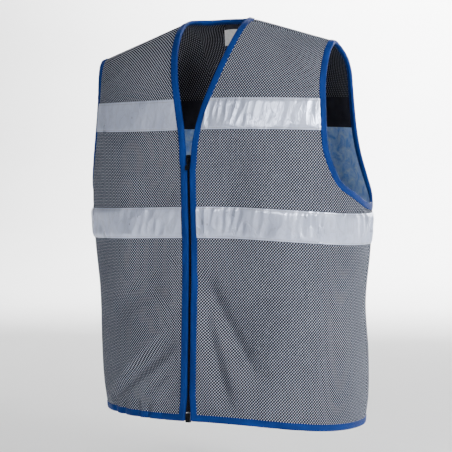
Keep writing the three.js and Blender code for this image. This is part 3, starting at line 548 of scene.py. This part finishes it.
def shell(name, outer, inner, uv):
    """A closed wall between two grids of points. Its inner faces take the second material."""
    rows, columns = outer.shape[:2]
    count = rows * columns
    index = np.arange(count).reshape(rows, columns)
    a, b, c, d = index[:-1, :-1], index[:-1, 1:], index[1:, 1:], index[1:, :-1]
    front = np.stack([a, b, c, d], axis=-1).reshape(-1, 4)
    border = np.concatenate([index[0, :-1], index[:-1, -1], index[-1, :0:-1], index[:0:-1, 0]])
    after = np.roll(border, -1)
    rim = np.stack([after, border, border + count, after + count], axis=-1)
    faces = np.concatenate([front, front[:, ::-1] + count, rim])
    points = np.concatenate([outer.reshape(-1, 3), inner.reshape(-1, 3)])
    flat = uv.reshape(-1, 2)
    piece = new_mesh(name, placed(points), faces.tolist(), np.concatenate([flat, flat]))
    inside = np.zeros(len(faces), int)
    inside[len(front):2 * len(front)] = 1
    piece.data.polygons.foreach_set("material_index", inside)
    return piece


def tube(name, rings, uv, closed):
    """Rings of points joined one to the next, with flat ends unless it is closed."""
    count, size = rings.shape[:2]
    index = np.arange(count * size).reshape(count, size)
    here = index if closed else index[:-1]
    there = np.roll(index, -1, axis=0) if closed else index[1:]
    quads = np.stack([here, np.roll(here, -1, 1), np.roll(there, -1, 1), there], axis=-1)
    quads = quads.reshape(-1, 4).tolist()
    if not closed:
        quads += [index[0, ::-1].tolist(), index[-1].tolist()]
    return new_mesh(name, placed(rings.reshape(-1, 3)), quads, uv.reshape(-1, 2), sharp=70)


def waves(seed, count, across, up):
    """A smooth uneven height over cloth coordinates in metres, about -1 to 1."""
    rng = np.random.default_rng(seed)
    terms = [
        (rng.uniform(*across) * rng.choice([-1, 1]), rng.uniform(*up), rng.uniform(0, 2 * math.pi))
        for _ in range(count)
    ]

    def height(uv):
        total = sum(
            np.cos(2 * math.pi * (fu * uv[..., 0] + fv * uv[..., 1]) + phase) for fu, fv, phase in terms
        )
        return total / math.sqrt(count / 2) / 2

    return height


# Panels

drape = waves(11, 10, (1.5, 6), (1, 4))


def cloth(angle, row, distance, uv):
    """Points a distance off the outer face, with the uneven height of the drape."""
    return off_cloth(angle, row, (distance + DRAPE_HEIGHT * drape(uv))[..., None])


def panel_rows(top, count):
    """Rows from the hem to the armpit and on to a top row."""
    low = (FIRST_ROW, binding_row, HEM_ROWS)
    return steps(low, (binding_row, armpit_row, BODY_ROWS), (armpit_row, top, count))


def seam_dip(angle, rows, to_side, top):
    """How deep the side seam and the shoulder seam pull the cloth in."""
    side = np.exp(-(to_side / SEAM_SPREAD) ** 2) * (rows <= armpit_row)
    shoulder = np.exp(-(((top - rows) / per_millimetre(angle, rows)[1]) / SHOULDER_SPREAD) ** 2)
    return SEAM_DIP * np.maximum(side, shoulder)


def front_panel(side):
    top = seam_row - SEAM_ROOM
    row = panel_rows(top, FRONT_TOP_ROWS)
    line, edge = front_line(side), outer_line(side, 1)
    inner = beside_line(line, row, side * TUCK)[0]
    outer = tucked(edge, -side * TUCK)(row)
    share = np.linspace(0, 1, FRONT_COLUMNS)[None, :]
    angle = mix(inner[:, None], outer[:, None], share)
    rows = np.broadcast_to(row[:, None], angle.shape)
    uv = cloth_coordinates(angle, rows, -math.pi / 2)
    beside = lengths(plain_point(angle, rows), 1)
    dip = seam_dip(angle, rows, beside[:, -1:] - beside, top)
    name = "front_left" if side > 0 else "front_right"
    return shell(name, cloth(angle, rows, -dip, uv), cloth(angle, rows, -WALL, uv), uv)


def neck_line(turn):
    x = NECK_SHIFT + front_inner_x(np.full_like(turn, seam_row)) * np.sin(turn)
    row = mix(neck_inner_row, back_top_row, 1 - np.cos(turn))
    return angle_at_x(x, row, -1), row


def back_grid(row, lift, top_row):
    """Angles and rows of the back: its columns end on the neck line and on the shoulder seams."""
    left, right = outer_line(1, -1), outer_line(-1, -1)
    centre = math.pi / 2
    turn = np.linspace(-math.pi / 2, math.pi / 2, BACK_NECK_COLUMNS)
    angle, neck_row = neck_line(turn)
    tuck_angle, tuck_row = beside_line(neck_line, turn, -TUCK)
    window = np.cos(turn) ** 2
    angle, neck_row = mix(angle, tuck_angle, window), mix(neck_row, tuck_row, window)
    edge = np.where(angle > centre, right(neck_row)[0], left(neck_row)[0])
    share = np.sign(centre - angle) * (angle - centre) / (edge - centre)
    before = np.linspace(-1, share[0], BACK_SIDE_COLUMNS + 1)[:-1]
    after = np.linspace(share[-1], 1, BACK_SIDE_COLUMNS + 1)[1:]
    columns = np.concatenate([before, share, after])
    seam = np.full(BACK_SIDE_COLUMNS, top_row)
    ends = np.concatenate([seam, neck_row, seam])
    base = row[-1]
    low_rows = np.repeat(row[:, None], len(columns), 1)
    rows = np.concatenate([low_rows, base + (ends - base)[None, :] * lift[1:, None]])
    flat = rows.ravel()
    tucked_right = tucked(right, -TUCK)(flat).reshape(rows.shape)
    tucked_left = tucked(left, TUCK)(flat).reshape(rows.shape)
    outer = np.where(columns[None, :] < 0, tucked_right, tucked_left)
    return mix(centre, outer, np.abs(columns)[None, :]), rows


def back_panel():
    base = tape_rows(UPPER_TAPE_TOP + BACK_TAPE_RISE)[1]
    top = back_top_row - SEAM_ROOM
    row = panel_rows(base, BACK_MIDDLE_ROWS)
    angle, rows = back_grid(row, np.linspace(0, 1, BACK_TOP_ROWS), top)
    uv = cloth_coordinates(angle, rows, math.pi / 2)
    beside = lengths(plain_point(angle, rows), 1)
    dip = seam_dip(angle, rows, np.minimum(beside, beside[:, -1:] - beside), top)
    return shell("back", cloth(angle, rows, -dip, uv), cloth(angle, rows, -WALL, uv), uv)


def skin(name, row, columns, left, right, centre, low, high, relief):
    """A thinner cloth over or under a panel between two lines, with a relief of its own."""
    start, end = left(row)[0], right(row)[0]
    angle = mix(start[:, None], end[:, None], np.linspace(0, 1, columns)[None, :])
    rows = np.broadcast_to(row[:, None], angle.shape)
    uv = cloth_coordinates(angle, rows, centre)
    height = relief(uv, np.linspace(0, 1, len(row))[:, None])
    outer, inner = cloth(angle, rows, high + height, uv), cloth(angle, rows, low + height, uv)
    uv = uv.copy()
    uv[..., 1] -= uv[0, 0, 1]
    return shell(name, outer, inner, uv)


crinkle = waves(5, 14, (12, 46), (-16, 16))
buckle = waves(8, 10, (9, 26), (-14, 14))
broad = waves(14, 8, (2, 8), (-2, 2))


def tape_relief(slack):
    """Creases in a tape that is sewn down along both edges."""
    def relief(uv, up):
        held = np.clip(np.minimum(up, 1 - up) * 7, 0, 1) ** 0.7
        sharp = 1 - np.abs(crinkle(uv)) * 1.6
        loose = slack * np.clip(0.7 + 0.5 * broad(uv), 0.25, 1.1)
        height = CREASE_HEIGHT * np.clip(sharp, -0.7, 1) + BUCKLE_HEIGHT * buckle(uv) + LOOSE_HEIGHT
        return held * loose * height

    return relief


def tape(name, side, face, top, slack):
    low, high = tape_rows(top)
    row = np.linspace(low, high, TAPE_ROWS)
    if face > 0:
        columns, start, end = TAPE_COLUMNS, front_line(side), outer_line(side, 1)
    else:
        columns, start, end = BACK_TAPE_COLUMNS, outer_line(-1, -1), outer_line(1, -1)
    centre = -face * math.pi / 2
    return skin(name, row, columns, start, end, centre, GAP, GAP + CLOTH, tape_relief(slack))


soft = waves(21, 16, (14, 60), (10, 50))


def lining_relief(uv, up):
    return -LINING_PUFF * (0.5 + 0.5 * soft(uv)) * np.clip(np.minimum(up, 1 - up) * 12, 0, 1)


def inner_skin(name, low, high, count, relief):
    start, end = outer_line(-1, -1), outer_line(1, -1)
    row = np.linspace(low, high, count)
    high_face = -WALL - GAP
    return skin(name, row, INNER_COLUMNS, start, end, math.pi / 2, high_face - CLOTH, high_face, relief)


# Bindings: the profile is (share of the way from the panel side to the cut edge, millimetres
# beyond that, distance off the cloth) round the outside and back along the inside.
PROFILE = np.array([
    [0.0, 0.3, 0.1], [0.0, 0.5, 0.8], [0.08, 0.4, 1.2], [0.25, 0.3, 1.35], [0.5, 0.2, 1.45], [0.75, 0.0, 1.5],
    [1.0, -0.1, 1.35], [1.0, 0.7, 0.9], [1.0, 1.2, 0.0], [1.0, 1.4, -1.5], [1.0, 1.2, -3.0], [1.0, 0.7, -3.9],
    [1.0, -0.1, -4.35], [0.75, 0.0, -4.5], [0.5, 0.2, -4.45], [0.25, 0.3, -4.35], [0.08, 0.4, -4.2],
    [0.0, 0.5, -3.8], [0.0, 0.3, -3.1], [0.9, 0.0, -3.1], [0.9, 0.3, 0.1],
])
pucker = waves(33, 14, (20, 120), (0, 1))


def binding(name, inner, edge, closed):
    """A folded strip whose panel side and cut edge run along two lists of (angle, row)."""
    points = [body_point(a, r) for a, r in (inner, edge)]
    normals = [normal_of(body_point, a, r) for a, r in (inner, edge)]
    out = points[1] - points[0]
    out /= np.linalg.norm(out, axis=-1, keepdims=True)
    run = lengths(points[0], 0) / 1000
    share, beyond, off = (PROFILE[None, :, i, None] for i in range(3))
    place = mix(points[0][:, None], points[1][:, None], share)
    normal = mix(normals[0][:, None], normals[1][:, None], share)
    along = np.stack([run, np.zeros_like(run)], axis=-1)
    swell = 1 + PUCKER_SHARE * pucker(along)[:, None, None]
    rings = place + out[:, None] * beyond + normal * np.where(off > 0.5, off * swell, off)
    lap = PROFILE[:, 0] * BINDING_WIDTH / 1000
    lap = np.where(PROFILE[:, 2] < -WALL / 2, BINDING_STRIP / 1000 - lap, lap)
    return tube(name, rings, uv_grid(lap, run[:, None]), closed)


def joined(*parts):
    return np.concatenate([p[0] for p in parts]), np.concatenate([p[1] for p in parts])


def neck_binding():
    row = steps((0.0, binding_row, 4), (binding_row, armpit_row, 90), (armpit_row, seam_row, 110))[:-1]
    turn = np.linspace(-math.pi / 2, math.pi / 2, NECK_TURN_STEPS)
    right, left = front_line(-1), front_line(1)
    inner = joined(right(row), neck_line(turn), left(row[::-1]))
    edge = joined(
        beside_line(right, row, -BINDING_WIDTH), beside_line(neck_line, turn, -BINDING_WIDTH),
        beside_line(left, row[::-1], BINDING_WIDTH),
    )
    return binding("neck_binding", inner, edge, False)


def arm_half(side, face):
    line = outer_line(side, face)
    top = seam_row if face > 0 else back_top_row
    row = armpit_row + (top - armpit_row) * np.linspace(0, 1, ARM_ROWS) ** ARM_SPACING
    edge_angle, edge_row = beside_line(line, row[1:], -face * side * BINDING_WIDTH)
    start, scale = seam_angle(side, face, armpit_row), per_millimetre(0.0, armpit_row)[1]
    low_edge = np.array([start]), np.array([armpit_row + ARMPIT_RISE * scale])
    edge = joined(low_edge, (edge_angle, edge_row))
    return line(row), edge


def armhole_binding(side):
    inner, edge = (
        joined(front, [part[-2:0:-1] for part in back])
        for front, back in zip(arm_half(side, 1), arm_half(side, -1))
    )
    return binding("armhole", inner, edge, True)


def hem_binding():
    right, left = front_line(-1), front_line(1)

    def round_hem(row):
        at = np.array([row])
        start = beside_line(right, at, -HEM_REACH)[0][0]
        end = beside_line(left, at, HEM_REACH)[0][0]
        front_right = np.linspace(start, seam_angle(-1, 1, row), HEM_COLUMNS)
        back = np.linspace(seam_angle(-1, -1, row), seam_angle(1, -1, row), 2 * HEM_COLUMNS)
        front_left = np.linspace(seam_angle(1, 1, row), end, HEM_COLUMNS)
        angle = np.concatenate([front_right, back[1:-1], front_left])
        return angle, np.full(len(angle), row)

    return binding("hem_binding", round_hem(binding_row), round_hem(0.0), False)


# Zip

tape_face = -WALL - 2 * GAP - CLOTH
coil_back = tape_face + GAP
zip_start = float(row_at_height(BOX_LENGTH - BOX_DROP + GAP))
zip_row = steps((zip_start, float(row_at_height(SLIDER_HEIGHT)), ZIP_ROWS))


def zip_edge(side, row, x, distance):
    angle, level = beside_line(front_line(side), row, side * BINDING_WIDTH)
    point = off_cloth(angle, level, distance)
    point[..., 0] = side * x
    return point


def zip_tape(side):
    angle, level = front_line(side)(zip_row)
    outer, inner = (
        np.stack([zip_edge(side, zip_row, GAP / 2, face), off_cloth(angle, level, face)], axis=1)
        for face in (tape_face, tape_face - ZIP_TAPE_THICKNESS)
    )
    run = lengths(outer[:, 0], 0) / 1000
    return shell("zip", outer, inner, uv_grid(np.array([0, ZIP_TAPE_WIDTH / 1000]), run[:, None]))


def zip_coil(side):
    """A row of small round teeth along the tape's edge, one for each turn of the coil."""
    line = zip_edge(side, zip_row, 0, coil_back + COIL_THICKNESS / 2)
    run = lengths(line, 0)
    at = np.arange(COIL_PITCH, run[-1] - COIL_PITCH / 2, COIL_PITCH) + side * COIL_PITCH / 4
    centres = np.stack([np.interp(at, run, line[:, i]) for i in range(3)], axis=-1)
    ring = np.linspace(0, 2 * math.pi, TOOTH_SIDES, endpoint=False)
    stations = [(0.02, 0.35), (0.25, 0.8), (0.6, 1.0), (0.85, 0.9), (1.0, 0.5)]
    vertices, faces, uv = [], [], []
    half = COIL_THICKNESS / 2
    for centre in centres:
        first = len(vertices)
        for share, size in stations:
            x = side * (GAP / 2 + share * (COIL_WIDTH - GAP / 2))
            for a in ring:
                offset = np.array([x, half * size * math.cos(a), 0.4 * COIL_PITCH * size * math.sin(a)])
                vertices.append(centre * [0, 1, 1] + offset)
                uv.append((share * 0.002, centre[2] / 1000))
        last = len(vertices) - TOOTH_SIDES
        for start in range(first, last, TOOTH_SIDES):
            for i in range(TOOTH_SIDES):
                a, b = start + i, start + (i + 1) % TOOTH_SIDES
                faces.append([a, b, b + TOOTH_SIDES, a + TOOTH_SIDES])
        faces.append([first + i for i in range(TOOTH_SIDES)][::-1])
        faces.append([last + i for i in range(TOOTH_SIDES)])
    return new_mesh("coil", placed(vertices), faces, uv)


# Labels: they hang straight down from the neck seam and curl a little

def label(start, end):
    turn = np.linspace(-1, 1, 14)
    x = LABEL_OFFSET + turn * LABEL_WIDTH / 2
    row = np.full_like(x, neck_inner_row - 0.02)
    angle = angle_at_x(x, row, -1)
    top = off_cloth(angle, row, -(WALL + GAP))
    down = np.linspace(start, end, 16)
    bend = 0.9 * np.sin(down / 9.0)[:, None] + 0.5 * np.cos(turn * 2.2)[None, :]
    grid = np.repeat(top[None], len(down), 0)
    grid[..., 2] -= down[:, None]
    grid[..., 1] -= 0.6 + np.abs(bend)
    front = grid.copy()
    front[..., 1] -= 0.5
    return shell("label", grid, front, uv_grid(x, -down[:, None]) / 1000)


# Materials

def linear(red, green, blue):
    def channel(value):
        value /= 255
        return value / 12.92 if value <= 0.04045 else ((value + 0.055) / 1.055) ** 2.4

    return channel(red), channel(green), channel(blue), 1


class Nodes:
    """A short way to write a material's nodes."""

    def __init__(self, name):
        self.material = bpy.data.materials.new(name)
        self.material.use_nodes = True
        self.tree = self.material.node_tree
        self.shader = self.tree.nodes["Principled BSDF"]

    def value(self, socket, source):
        if hasattr(source, "is_output"):
            self.tree.links.new(source, socket)
        else:
            socket.default_value = source

    def add(self, kind, inputs=(), output=0, **settings):
        node = self.tree.nodes.new(kind)
        for name, setting in settings.items():
            setattr(node, name, setting)
        for key, source in dict(inputs).items():
            self.value(node.inputs[key], source)
        return node.outputs[output]

    def math(self, operation, a, b=0.0):
        return self.add("ShaderNodeMath", {0: a, 1: b}, operation=operation)

    def times(self, a, b):
        return self.math("MULTIPLY", a, b)

    def plus(self, a, b):
        return self.math("ADD", a, b)

    def rescale(self, value, low, high, start, end):
        """Map low to high onto start to end, and hold the ends."""
        return self.add("ShaderNodeMapRange", {0: value, 1: low, 2: high, 3: start, 4: end})

    def noise(self, vector, scale, detail=3.0, rough=0.5, distortion=0.0):
        return self.add("ShaderNodeTexNoise", {
            "Vector": vector, "Scale": scale, "Detail": detail, "Roughness": rough, "Distortion": distortion,
        })

    def wave(self, along, pitch):
        return self.math("SINE", self.times(along, 2 * math.pi / pitch))

    def scaled(self, vector, x, y, z=1.0):
        return self.add("ShaderNodeMapping", {"Vector": vector, "Scale": (x, y, z)})

    def ramp(self, factor, *stops):
        node = self.tree.nodes.new("ShaderNodeValToRGB")
        elements = node.color_ramp.elements
        while len(elements) < len(stops):
            elements.new(0.5)
        for element, (position, colour) in zip(elements, stops):
            element.position = position
            element.color = linear(*colour) if len(colour) == 3 else colour
        self.value(node.inputs["Fac"], factor)
        return node.outputs["Color"]

    def blend(self, factor, a, b, mode="MIX"):
        node = self.tree.nodes.new("ShaderNodeMix")
        node.data_type = "RGBA"
        node.blend_type = mode
        self.value(node.inputs["Factor"], factor)
        self.value(node.inputs["A"], a)
        self.value(node.inputs["B"], b)
        return node.outputs["Result"]

    def uv(self):
        return self.add("ShaderNodeUVMap", uv_map="cloth")

    def object_place(self):
        return self.add("ShaderNodeTexCoord", output=3)

    def parts(self, vector):
        node = self.tree.nodes.new("ShaderNodeSeparateXYZ")
        self.value(node.inputs[0], vector)
        return node.outputs[0], node.outputs[1]

    def finish(self, colour, roughness, height=None, strength=0.5, distance=0.001, **direct):
        self.value(self.shader.inputs["Base Color"], colour)
        self.value(self.shader.inputs["Roughness"], roughness)
        for name, setting in direct.items():
            self.shader.inputs[name.replace("_", " ")].default_value = setting
        if height is not None:
            inputs = {"Strength": strength, "Distance": distance, "Height": height}
            self.value(self.shader.inputs["Normal"], self.add("ShaderNodeBump", inputs))
        return self.material


# Metres between knots of mesh, ribs, threads and stitches, and from a tape's edge to its stitches
MESH_ACROSS = 0.0044
MESH_UP = 0.0050
RIB_PITCH = 0.0007
WEAVE_PITCH = 0.0009
LABEL_PITCH = 0.0006
STITCH_PITCH = 0.0026
TAPE_STITCH_PITCH = 0.0028
TAPE_INSET = 0.0026


def stitches(n, along, pitch=STITCH_PITCH):
    """Short thread lengths with gaps between them."""
    return n.rescale(n.wave(along, pitch), -0.5, 0.1, 0.0, 1.0)


def band(n, value, centre, half):
    """1 near a value, fading to 0."""
    away = n.math("ABSOLUTE", n.math("SUBTRACT", value, centre))
    return n.rescale(away, half, half * 0.4, 0.0, 1.0)


def mesh_material(name, hole, base, loop, yarn):
    """Spacer mesh: rows of knitted knots, each row shifted by half a knot, over dark holes."""
    n = Nodes(name)
    uv = n.uv()
    across, up = n.parts(uv)
    across = n.times(n.math("ABSOLUTE", across), 2 * math.pi / MESH_ACROSS)
    up = n.times(up, 2 * math.pi / MESH_UP)
    falling = n.math("COSINE", n.plus(across, up))
    rising = n.math("COSINE", n.math("SUBTRACT", across, up))
    knot = n.plus(n.times(rising, 0.6), n.times(falling, 0.4))
    shape = n.rescale(knot, -0.7, 0.95, 0.0, 1.0)
    patch = n.noise(uv, 9.0, 3.0)
    cloud = n.ramp(patch, (0.3, (0.88, 0.88, 0.90, 1)), (0.7, (1.08, 1.08, 1.08, 1)))
    colour = n.ramp(shape, (0.0, hole), (0.40, base), (0.64, loop), (0.92, yarn))
    colour = n.blend(1.0, colour, cloud, "MULTIPLY")
    return n.finish(colour, 0.85, shape, 0.3, 0.0008, Specular_IOR_Level=0.1)


def binding_material():
    n = Nodes("blue_binding")
    uv = n.uv()
    across, along = n.parts(uv)
    rib = n.wave(along, RIB_PITCH)
    thread = n.noise(n.scaled(uv, 1600, 500), 1.0, 2.0)
    patch = n.noise(n.scaled(uv, 60, 18), 1.0, 3.0)
    sewn = band(n, across, 0.0018, 0.0006)
    seam = n.times(sewn, stitches(n, along))
    colour = n.ramp(patch, (0.3, (2, 37, 100)), (0.7, (5, 52, 128)))
    colour = n.blend(n.times(sewn, 0.45), colour, linear(3, 26, 70))
    colour = n.blend(n.times(seam, 0.5), colour, linear(16, 70, 146))
    height = n.plus(n.times(rib, 0.12), n.times(thread, 0.3))
    height = n.plus(height, n.times(patch, 0.7))
    height = n.math("SUBTRACT", height, n.times(sewn, 0.7))
    height = n.plus(height, n.times(seam, 0.4))
    return n.finish(colour, 0.6, height, 0.7, 0.0008, Specular_IOR_Level=0.15)


def lining_material():
    n = Nodes("blue_lining")
    uv = n.uv()
    puff_with_highlight = n.noise(n.scaled(uv, 70, 70), 1.0, 4.0, 0.6, 0.8)
    fine = n.noise(n.scaled(uv, 900, 900), 1.0, 2.0)
    # The colour follows the puffs: painted highlights on the raised puffs and painted shade between them.
    colour = n.ramp(puff_with_highlight, (0.3, (108, 154, 240)), (0.55, (168, 203, 253)), (0.8, (226, 238, 255)))
    height = n.plus(puff_with_highlight, n.times(fine, 0.12))
    return n.finish(colour, 0.5, height, 0.9, 0.004, Specular_IOR_Level=0.3)


def black_material():
    n = Nodes("black_cloth")
    uv = n.uv()
    across, up = n.parts(uv)
    weave = n.times(n.wave(across, WEAVE_PITCH), n.wave(up, WEAVE_PITCH))
    patch = n.noise(n.scaled(uv, 60, 40), 1.0, 3.0)
    colour = n.ramp(patch, (0.3, (42, 42, 49)), (0.75, (58, 58, 66)))
    height = n.plus(n.times(weave, 0.25), patch)
    return n.finish(colour, 0.8, height, 0.5, 0.001, Specular_IOR_Level=0.1)


def reflective_material():
    """Silver tape with fine crushed creases, painted shade along the crease lines, painted glints and a sewn
    line inside each edge.
    """
    n = Nodes("silver_tape")
    uv = n.uv()
    across, up = n.parts(uv)
    crease = n.noise(n.scaled(uv, 84, 40), 1.0, 2.0, 0.5, 0.9)
    ridge = n.math("ABSOLUTE", n.math("SUBTRACT", crease, 0.5))
    shaded_crease = n.rescale(ridge, 0.0, 0.07, 1.0, 0.0)
    cloud = n.noise(n.scaled(uv, 30, 14), 1.0, 3.0)
    glint = n.noise(n.scaled(uv, 4200, 4200), 1.0, 1.0)
    low = band(n, up, TAPE_INSET, 0.0009)
    high = band(n, up, TAPE_WIDTH / 1000 - TAPE_INSET, 0.0009)
    sewn = n.math("MAXIMUM", low, high)
    seam = n.times(sewn, stitches(n, across, TAPE_STITCH_PITCH))
    colour = n.ramp(cloud, (0.28, (188, 198, 226)), (0.72, (214, 223, 248)))
    # Painted shade darkens the crease lines, and painted glints lighten fine specks.
    colour = n.blend(n.times(shaded_crease, 0.20), colour, linear(150, 152, 164))
    colour = n.blend(n.times(n.math("SUBTRACT", glint, 0.4), 0.35), colour, linear(226, 228, 234))
    colour = n.blend(n.times(sewn, 0.30), colour, linear(150, 153, 165))
    colour = n.blend(n.times(seam, 0.45), colour, linear(196, 198, 206))
    height = n.plus(n.times(crease, 1.2), n.times(shaded_crease, 0.12))
    height = n.math("SUBTRACT", height, n.times(sewn, 0.35))
    rough = n.rescale(cloud, 0.3, 0.7, 0.24, 0.38)
    return n.finish(colour, rough, height, 0.4, 0.0024, Metallic=0.45)


def coil_material():
    n = Nodes("black_coil")
    place = n.object_place()
    wear = n.noise(place, 700.0, 2.0)
    colour = n.ramp(wear, (0.3, (12, 12, 14)), (0.8, (34, 34, 38)))
    return n.finish(colour, 0.42, wear, 0.2, 0.0003)


def metal_material():
    n = Nodes("dark_metal")
    place = n.object_place()
    grain = n.noise(n.scaled(place, 1, 1, 0.25), 1500.0, 3.0)
    patch = n.noise(place, 240.0, 3.0)
    colour = n.ramp(patch, (0.3, (18, 19, 22)), (0.75, (40, 42, 46)))
    rough = n.rescale(grain, 0.3, 0.7, 0.26, 0.48)
    return n.finish(colour, rough, grain, 0.25, 0.0004, Metallic=0.85)


def label_material():
    n = Nodes("white_label")
    uv = n.uv()
    weave = n.wave(n.parts(uv)[0], LABEL_PITCH)
    patch = n.noise(n.scaled(uv, 240, 240), 1.0, 3.0)
    colour = n.ramp(patch, (0.3, (212, 212, 210)), (0.7, (238, 238, 236)))
    height = n.plus(n.times(weave, 0.15), patch)
    return n.finish(colour, 0.6, height, 0.4, 0.0008, Sheen_Weight=0.1)


def floor_material():
    n = Nodes("pale_floor")
    patch = n.noise(n.object_place(), 3.0, 2.0)
    colour = n.ramp(patch, (0.3, (0.90, 0.90, 0.90, 1)), (0.7, (0.92, 0.92, 0.92, 1)))
    return n.finish(colour, 0.9)


MESH = mesh_material("grey_mesh", (12, 14, 19), (42, 46, 57), (74, 80, 95), (206, 212, 226))
# The inner faces' mesh is darker for its darker backing, and it also carries painted shade for the inside of
# the vest.
BACKING_AND_SHADE_MESH = mesh_material("backing_and_shade_mesh", (16, 16, 18), (42, 42, 46), (60, 61, 66), (150, 152, 160))
BLUE = binding_material()
LINING = lining_material()
BLACK = black_material()
SILVER = reflective_material()
COIL = coil_material()
METAL = metal_material()
LABEL = label_material()


def dress(piece, material):
    """Give a piece its materials and body, and hide the CAD part of its node."""
    piece.data.materials.append(material)
    # Inner faces of mesh pieces take the darker backing mesh, which also carries painted shade.
    piece.data.materials.append(BACKING_AND_SHADE_MESH if material == MESH else material)
    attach(piece, "vest")
    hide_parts(piece["node"])


def made(node, piece):
    piece["node"] = node
    piece.name = node + "_cloth"
    return piece


# Camera, at the photograph's angle, and lights: name, place, target, size and power

CAMERA_TURN = (25.3, 2.62, -1.82)
CAMERA_PLACE = (1.1185, -2.3662, -0.2212)
CAMERA_LENS = 123.37
CAMERA_SENSOR = 36
CAMERA_SHIFT = 0.0031
FLOOR_HALF = 14
FLOOR_HEIGHT = -0.78
LIGHTS = [
    ("key", (2.9, -1.3, 0.8), (0, 0, -0.2), (0.7, 0.9), 90),
    ("fill", (0.5, -3.0, 0.9), (0, 0, -0.2), (1.0, 1.0), 37),
    ("top", (0.2, 0.3, 2.3), (0, 0, -0.3), (2.0, 2.0), 10),
    ("back", (-1.6, 3.0, 1.8), (0, 0, -0.2), (1.2, 1.2), 7),
    ("backdrop", (0.0, 2.8, 2.3), (0.0, 4.6, 1.75), (4.0, 1.0), 1250),
]
WORLD_STRENGTH = 0.15


def stand(place, x, y, z):
    """The matrix of a thing at a place, with its three axes."""
    return Matrix.Translation(place) @ Matrix(np.stack([x, y, z], axis=1).tolist()).to_4x4()


def set_camera():
    azimuth, elevation, roll = (math.radians(turn) for turn in CAMERA_TURN)
    level = math.cos(elevation)
    back = np.array([math.sin(azimuth) * level, -math.cos(azimuth) * level, math.sin(elevation)])
    right = np.array([math.cos(azimuth), math.sin(azimuth), 0])
    up = np.cross(back, right)
    x = right * math.cos(roll) + up * math.sin(roll)
    y = -right * math.sin(roll) + up * math.cos(roll)
    data = bpy.data.cameras.new("camera")
    data.lens = CAMERA_LENS
    data.sensor_width = CAMERA_SENSOR
    data.shift_x = CAMERA_SHIFT
    camera = put("camera", data)
    camera.matrix_world = stand(CAMERA_PLACE, x, y, back)
    bpy.context.scene.camera = camera


def area_light(name, place, target, size, power):
    data = bpy.data.lights.new(name, "AREA")
    data.shape = "RECTANGLE"
    data.size, data.size_y = size
    data.energy = power
    toward = np.array(target, float) - np.array(place, float)
    z = -toward / np.linalg.norm(toward)
    x = np.cross([0, 0, 1], z)
    x /= np.linalg.norm(x)
    put(name, data).matrix_world = stand(place, x, np.cross(z, x), z)


def set_stage():
    """A pale floor that curves up behind the vest, the lights and a dim world."""
    profile = [(-FLOOR_HALF, 0.0), (2.9, 0.0), (3.5, 0.05), (4.0, 0.25), (4.3, 0.6), (4.45, 1.1), (4.5, 5.0)]
    vertices = [(x, y, z + FLOOR_HEIGHT) for y, z in profile for x in (-FLOOR_HALF, FLOOR_HALF)]
    faces = [[2 * i, 2 * i + 1, 2 * i + 3, 2 * i + 2] for i in range(len(profile) - 1)]
    mesh = bpy.data.meshes.new("floor")
    mesh.from_pydata(vertices, [], faces)
    mesh.polygons.foreach_set("use_smooth", np.ones(len(mesh.polygons), bool))
    floor = put("floor", mesh)
    floor.data.materials.append(floor_material())
    for light in LIGHTS:
        area_light(*light)
    world = bpy.data.worlds.new("studio")
    world.use_nodes = True
    background = world.node_tree.nodes["Background"]
    background.inputs["Color"].default_value = (1, 1, 1, 1)
    background.inputs["Strength"].default_value = WORLD_STRENGTH
    bpy.context.scene.world = world


def tape_on(where, part, side, face, top, slack):
    """One of the tapes round the vest, sewn on a panel."""
    piece = made(f"{part}_tape_{where}", tape(part, side, face, top, slack))
    dress(piece, SILVER)


def main():
    set_camera()
    set_stage()
    hems = [made("neck_binding", neck_binding()), made("hem_binding", hem_binding())]
    sides = (("right", -1), ("left", 1))
    for side, sign in sides:
        hems.append(made(f"armhole_binding_{side}", armhole_binding(sign)))
    for piece, length in zip(hems, BINDING_LENGTHS):
        dress(piece, BLUE)
    for side, sign in sides:
        front = made(f"front_{side}", front_panel(sign))
        dress(front, MESH)
        tape_on(side, "upper", sign, 1, UPPER_TAPE_TOP, UPPER_SLACK[side])
        tape_on(side, "lower", sign, 1, LOWER_TAPE_TOP, LOWER_SLACK)
        zip_side = made(f"zip_tape_{side}", zip_tape(sign))
        dress(zip_side, BLACK)
        coil = made(f"zip_coil_{side}", zip_coil(sign))
        dress(coil, COIL)
    back = made("back", back_panel())
    dress(back, MESH)
    tape_on("back", "upper", 0, -1, UPPER_TAPE_TOP + BACK_TAPE_RISE, BACK_SLACK)
    tape_on("back", "lower", 0, -1, LOWER_TAPE_TOP, BACK_SLACK)
    low, high = tape_rows(UPPER_TAPE_TOP + BACK_TAPE_RISE)
    inner = made("back_inner_band", inner_skin("band", low, high, BAND_ROWS, lambda uv, up: 0 * up))
    dress(inner, BLACK)
    top = low - LINING_ROOM
    lining = made("back_lining", inner_skin("lining", binding_row, top, LINING_ROWS, lining_relief))
    dress(lining, LINING)
    black = made("neck_label_black", label(0, LABEL_BLACK_HEIGHT))
    dress(black, BLACK)
    white_end = LABEL_BLACK_HEIGHT + LABEL_WHITE_HEIGHT
    white = made("neck_label_white", label(LABEL_BLACK_HEIGHT + GAP, white_end))
    dress(white, LABEL)
    for node in ("zip_slider", "zip_pull", "zip_box"):
        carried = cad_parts[node]
        for slot in carried.material_slots:
            slot.material = METAL


main()
